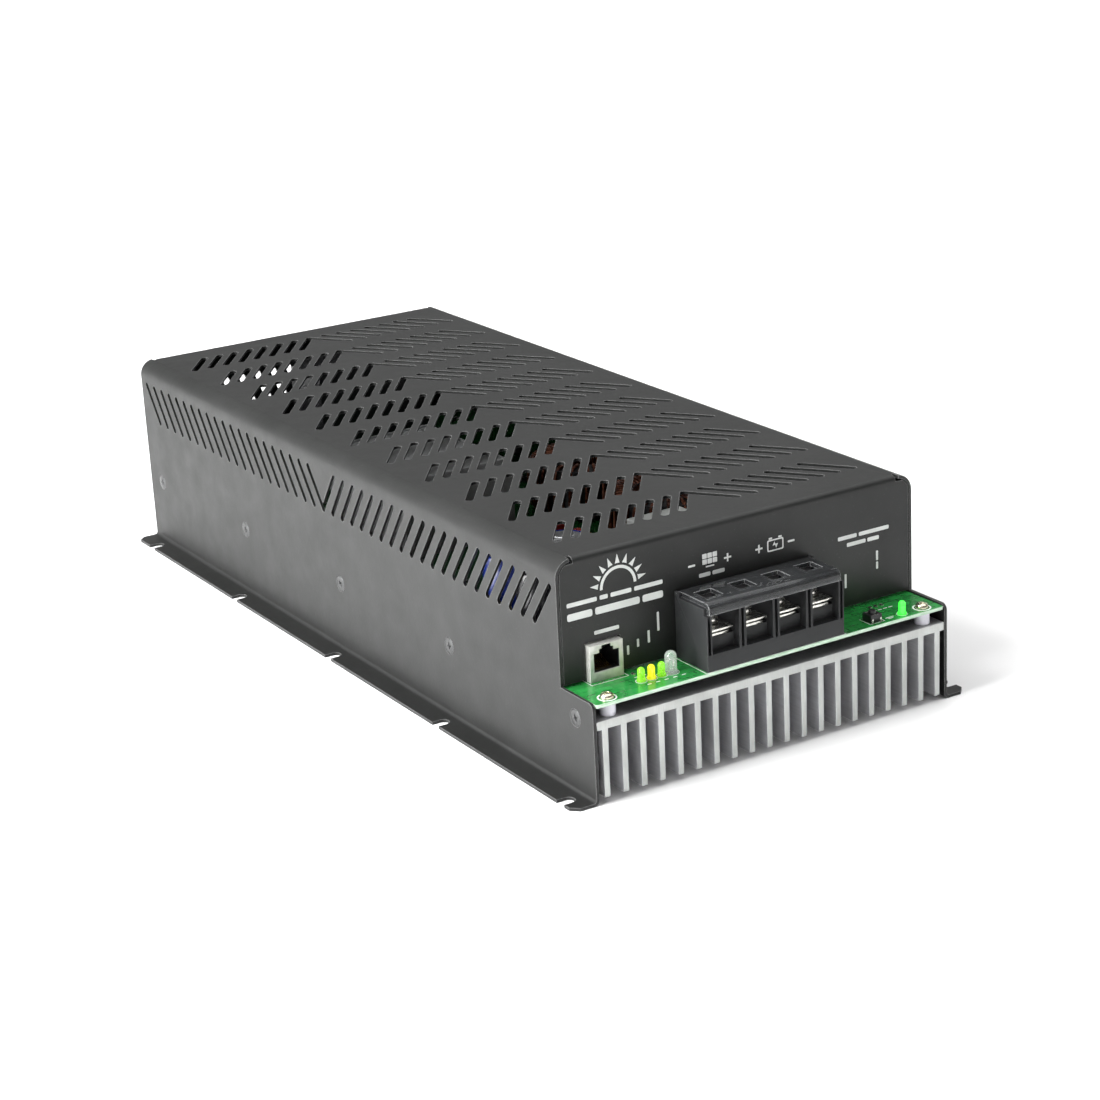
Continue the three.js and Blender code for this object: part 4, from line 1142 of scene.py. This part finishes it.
def bar(shape, x, z, long, tall):
    sign(shape, rounded(x, x + long, z - tall / 2, z + tall / 2, min(long, tall) * 0.25, 2))


def upright_bars(shape, x, low, lengths, wide=1.1):
    """A column of short bars, where the object carries a label that reads upwards."""
    z = low
    for length in lengths:
        sign(shape, rounded(x - wide / 2, x + wide / 2, z, z + length, 0.25, 2))
        z += length + 0.7


def plus(shape, x, z, arm=1.9, thick=0.8):
    half = thick / 2
    corner = [(half, half), (half, arm), (-half, arm), (-half, half), (-arm, half), (-arm, -half)]
    corner += [(-half, -half), (-half, -arm), (half, -arm), (half, -half), (arm, -half), (arm, half)]
    sign(shape, [(x + a, z + b) for a, b in corner])


def sun_sign(shape, x, z):
    """A rising half sun with pointed rays."""
    sign(shape, arc((x, z), 9.2, 0, 180, 28) + arc((x, z), 7.9, 180, 0, 28))
    for angle in range(10, 180, 20):
        tip = arc((x, z), 14.3, angle, angle, 1)[0]
        feet = arc((x, z), 10.3, angle - 6.5, angle + 6.5, 4)
        sign(shape, [*feet, tip])


def panel_sign(shape, x, z):
    """A solar panel seen square on, made of six cells on a short stand."""
    for row in range(2):
        for column in range(3):
            left, low = x - 3.9 + column * 2.7, z - 2.6 + row * 2.6
            sign(shape, rounded(left, left + 2.3, low, low + 2.2, 0.2, 2))
    sign(shape, [(x - 2.2, z - 4.1), (x + 2.2, z - 4.1), (x + 2.2, z - 3.5), (x - 2.2, z - 3.5)])


def battery_sign(shape, x, z):
    """An open box with two posts and a flash in it."""
    outer = rounded(x - 4.4, x + 4.4, z - 3, z + 2.4, 0.8, 3)
    inner = rounded(x - 3.8, x + 3.8, z - 2.4, z + 1.8, 0.5, 3)
    half = len(outer) // 2
    sign(shape, outer[: half + 1] + inner[half::-1])
    sign(shape, outer[half:] + outer[:1] + inner[:1] + inner[: half - 1 : -1])
    for side in (-1, 1):
        bar(shape, x + side * 2.6 - 0.9, z + 3.0, 1.8, 0.8)
    flash = ((-0.5, 1.2), (-1.5, -0.5), (-0.1, -0.3), (0.4, -1.8), (1.4, 0.2), (0, 0))
    sign(shape, [(x + right, z + up) for right, up in flash])


# Bars in place of the lettering: (start, height, length, thickness), and columns: (start, foot, lengths).
# Those at the left start from the left wall, and those at the right from the centre line.
LEFT_BARS = (
    (5, 81.4, 15, 1.9), (21.5, 81.4, 4, 1.9), (27, 81.4, 10.5, 1.9), (39, 81.4, 14.5, 1.9),
    (5, 75.9, 12.5, 3.2), (19, 75.9, 22.5, 3.2), (43, 75.9, 10.5, 3.2),
    (18, 66.3, 12.5, 1.7),
)
LEFT_COLUMNS = ((34.6, 52.4, (4.2,)), (39.8, 54.8, (3.6,)), (45.4, 55.4, (5.6,)), (50.5, 59.6, (8.6,)))
RIGHT_BARS = (
    (-22.5, 79.4, 6, 1.8), (-15.4, 79.4, 6.4, 1.8),
    (53, 79.3, 10.5, 1.8), (64.8, 79.3, 17, 1.8), (58, 75.6, 10.5, 1.8), (69.6, 75.6, 6.5, 1.8),
)
RIGHT_COLUMNS = ((57, 55.4, (6.6,)), (75, 60.6, (3.4, 4.6)))
MINUS_BARS = ((-28, 84.8, 3.6, 0.9), (25.3, 84.6, 3.6, 0.9))


def make_signs():
    shape = bmesh.new()
    sun_sign(shape, 31 - WALL, 84.6)
    panel_sign(shape, -16.6, 86.6)
    battery_sign(shape, 18.5, 85)
    for x in (-7.2, 9.6):
        plus(shape, x, 84.6)
    for x, z, long, tall in LEFT_BARS:
        bar(shape, x - WALL, z, long, tall)
    for x, low, lengths in LEFT_COLUMNS:
        upright_bars(shape, x - WALL, low, lengths)
    for x, z, long, tall in RIGHT_BARS + MINUS_BARS:
        bar(shape, x, z, long, tall)
    for x, low, lengths in RIGHT_COLUMNS:
        upright_bars(shape, x, low, lengths)
    piece("panel_signs", shape, [PRINT_WHITE])


# ---------------------------------------------------------------- what the cover hides


def make_capacitor(number):
    """A shrink sleeve with a crimp near its foot, and a bare top scored with three lines."""
    foot, radius, tall = round_sizes(f"capacitor_{number}")
    sleeve = [(0, 0), (radius - 0.6, 0), (radius, 0.8), (radius, 3), (radius - 0.9, 4), (radius, 5)]
    sleeve += [(radius, tall - 1.2), (radius - 0.5, tall - 0.3), (radius - 1.4, tall)]
    sleeve += [(radius - 2, tall - 0.3), (0, tall - 0.5)]
    lid = [(0, tall - 1), (radius - 2.1, tall - 1), (radius - 2.2, tall - 0.25), (0, tall - 0.3)]
    shape = bmesh.new()
    lathe(shape, sleeve, foot, 40)
    lathe(shape, lid, foot, 40, 1)
    top = Vector((foot.x, foot.y, foot.z + tall - 0.28))
    for turn in (0, 60, 120):
        angle = math.radians(turn)
        reach = Vector((math.cos(angle), math.sin(angle), 0)) * radius * 0.5
        tube(shape, [top - reach, top, top + reach], 0.22, 6, 1)
    look, slot = (BLACK_SLEEVE, "black_sleeve") if number <= 2 else (BLUE_SLEEVE, "blue_sleeve")
    piece(f"can_{number}", shape, [look, CAN_TOP], [f"capacitor_{number}"])


def make_toroid(name):
    """A ring core under one layer of thick wire."""
    low, high = corners(name)
    centre = (low + high) / 2
    outer, inner, wire = (high.x - low.x) / 2, 14.0, 1.0
    ring_radius = (outer + inner) / 2
    half_wide = (outer - inner) / 2 - wire
    half_tall = (high.z - low.z) / 2 - wire
    turns, steps = 44, 20
    path = []
    for i in range(turns * steps - steps * 3):
        around = math.tau * i / (turns * steps)
        section = math.tau * i / steps
        c, s = math.cos(section), math.sin(section)
        r = ring_radius + half_wide * math.copysign(abs(c) ** 0.55, c)
        z = centre.z + half_tall * math.copysign(abs(s) ** 0.55, s)
        path.append((centre.x + r * math.cos(around), centre.y + r * math.sin(around), z))
    shape = bmesh.new()
    tube(shape, path, wire * 0.95, 6)
    core_wide, core_tall = half_wide - wire, half_tall - wire
    near, far = ring_radius - core_wide, ring_radius + core_wide
    core = [(near, -core_tall), (far, -core_tall), (far, core_tall), (near, core_tall), (near, -core_tall)]
    lathe(shape, core, centre, 48, 1)
    piece(f"winding_{name}", shape, [COPPER, BLACK], [name])


def make_choke(node, name, look):
    """A case whose rim stands round the potting, which has set a little lower."""
    low, high = corners(node)
    rim, shoulder, depth = 1.6, 3.0, 1.2
    shape = cad_shape(node)
    well = bmesh.new()
    inset = shoulder + rim
    box(well, (low.x + inset, low.y + rim, high.z - depth), (high.x - inset, high.y - rim, high.z + 1))
    shape = carve(shape, well)
    piece(name, shape, [look], [node], bevel=0.5)


def make_blocks():
    """The relay and the film capacitors: cases with a recessed foot and a chamfered lid."""
    for node, name, look, slot in (
        ("relay", "relay_block", RELAY_CASE, "relay_case"),
        ("film_capacitor_front", "film_block_front", FILM_CASE, "film_capacitor"),
        ("film_capacitor_rear", "film_block_rear", FILM_CASE, "film_capacitor"),
    ):
        low, high = corners(node)
        shape = bmesh.new()
        outline = rounded(low.x, high.x, low.y, high.y, 1.5)
        prism(shape, outline, "z", low.z + 1.2, high.z)
        box(shape, (low.x + 1.5, low.y + 1.5, low.z), (high.x - 1.5, high.y - 1.5, low.z + 1.4))
        piece(name, shape, [look], [node], bevel=0.7)


def make_control_card():
    """An upright card with a processor, smaller chips, and a row of pins at its foot."""
    low, high = corners("control_card")
    shape = bmesh.new()
    prism(shape, rounded(low.x, high.x, low.z, high.z, 1.0), "y", low.y, high.y)
    chips = ((12, 18, 10, 10), (34, 18, 6, 4), (46, 20, 4, 6), (58, 14, 8, 5), (30, 8, 4, 4), (66, 26, 5, 3))
    for x, z, wide, tall in chips:
        for face_y, out in ((low.y, -1), (high.y, 1)):
            y0, y1 = sorted((face_y, face_y + out * 1.1))
            if out > 0 or wide > 5:
                left, foot = low.x + x - wide / 2, low.z + z - tall / 2
                box(shape, (left, y0, foot), (low.x + x + wide / 2, y1, low.z + z + tall / 2), 1)
    for i in range(26):
        x = low.x + 6 + i * 2.54
        box(shape, (x - 0.32, low.y - 2.2, low.z), (x + 0.32, low.y - 1.5, low.z + 5), 2)
    box(shape, (low.x + 4.5, low.y - 3, low.z), (low.x + 71.5, low.y - 0.05, low.z + 2.5), 1)
    looks = [MASK, BLACK, NICKEL]
    piece("control_board", shape, looks, ["control_card"], bevel=0.1, segments=1)


def make_transistors():
    for i in range(1, 5):
        node = f"transistor_{i}"
        low, high = corners(node)
        shape = cad_shape(node)
        for k in range(3):
            x = (low.x + high.x) / 2 + (k - 1) * 5.4
            box(shape, (x - 0.6, low.y - 6, low.z + 1.8), (x + 0.6, low.y + 0.3, low.z + 2.4), 1)
        piece(f"switch_transistor_{i}", shape, [BLACK, NICKEL], [node], bevel=0.3)


# ---------------------------------------------------------------- floor, light and camera
CENTRE = (CAD_BOX[0] + CAD_BOX[1]) / 2
AZIMUTH = math.radians(-30.84)
ELEVATION = math.radians(18.99)
ROLL = math.radians(-3.0)
DISTANCE = 1.23085
LENS = 83.84
AIM = CENTRE + Vector((-0.01409, -0.06636, 0.00144))


def make_floor():
    shape = bmesh.new()
    size = 9.0
    outline = [(-size, -size), (size, -size), (size, size), (-size, size)]
    prism(shape, outline, "z", CAD_BOX[0].z - 0.02, CAD_BOX[0].z)
    mesh = bpy.data.meshes.new("floor")
    shape.to_mesh(mesh)
    shape.free()
    mesh.materials.append(pale_floor())
    add_to_scene("floor", mesh)


def softbox(name, place, aim, size, power):
    data = bpy.data.lights.new(name, "AREA")
    data.shape = "RECTANGLE"
    data.size, data.size_y = size
    data.energy = power
    lamp = add_to_scene(name, data)
    lamp.location = place
    lamp.rotation_euler = (Vector(aim) - Vector(place)).to_track_quat("-Z", "Y").to_euler()


def make_light():
    """Two soft lamps, in a room that is bright near the horizon and dim overhead."""
    world = bpy.data.worlds.new("studio")
    bpy.context.scene.world = world
    world.use_nodes = True
    background = world.node_tree.nodes["Background"]
    background.inputs["Color"].default_value = (1, 1, 1, 1)
    nodes, links = world.node_tree.nodes, world.node_tree.links
    direction = nodes.new("ShaderNodeSeparateXYZ")
    links.new(nodes.new("ShaderNodeTexCoord").outputs["Generated"], direction.inputs[0])
    fade = nodes.new("ShaderNodeMapRange")
    for name, value in (("From Min", 0.08), ("From Max", 0.18), ("To Min", 1.0), ("To Max", 0.16)):
        fade.inputs[name].default_value = value
    links.new(direction.outputs["Z"], fade.inputs["Value"])
    links.new(fade.outputs["Result"], background.inputs["Strength"])
    softbox("overhead", (0.9, 1.4, 5), (0.9, 1.4, 0), (9, 9), 430)
    softbox("left_bank", (-2.1, 0.3, 1.1), (0, 0, 0.05), (1.6, 3.0), 225)
    bpy.context.scene.view_settings.view_transform = "Standard"


def make_camera():
    back = Vector((
        math.sin(AZIMUTH) * math.cos(ELEVATION),
        -math.cos(AZIMUTH) * math.cos(ELEVATION),
        math.sin(ELEVATION),
    ))
    level = (-back).cross(Vector((0, 0, 1))).normalized()
    upward = level.cross(-back)
    right = math.cos(ROLL) * level + math.sin(ROLL) * upward
    up = -math.sin(ROLL) * level + math.cos(ROLL) * upward
    data = bpy.data.cameras.new("camera")
    data.lens = LENS
    data.sensor_width = 36
    data.clip_start, data.clip_end = 0.05, 60
    camera = add_to_scene("camera", data)
    turn = Matrix((right, up, back)).transposed().to_4x4()
    camera.matrix_world = Matrix.Translation(AIM + back * DISTANCE) @ turn
    bpy.context.scene.camera = camera


# ---------------------------------------------------------------- the whole scene
make_cover()
make_heatsink()
make_side_screws()
make_board_fixings()
make_board()
make_board_print()
make_small_parts()
make_terminal_block()
make_socket()
for lamp in LAMPS:
    make_lamp(*lamp)
make_button()
make_signs()
for number in range(1, 5):
    make_capacitor(number)
make_toroid("toroid_front")
make_toroid("toroid_rear")
make_choke("power_choke", "choke_case", POTTED)
# painted shade: the filter choke's case is black, dark also for the shade under the cover
make_choke("filter_choke", "filter_choke_case", BLACK)
make_blocks()
make_control_card()
make_transistors()
make_floor()
make_light()
make_camera()
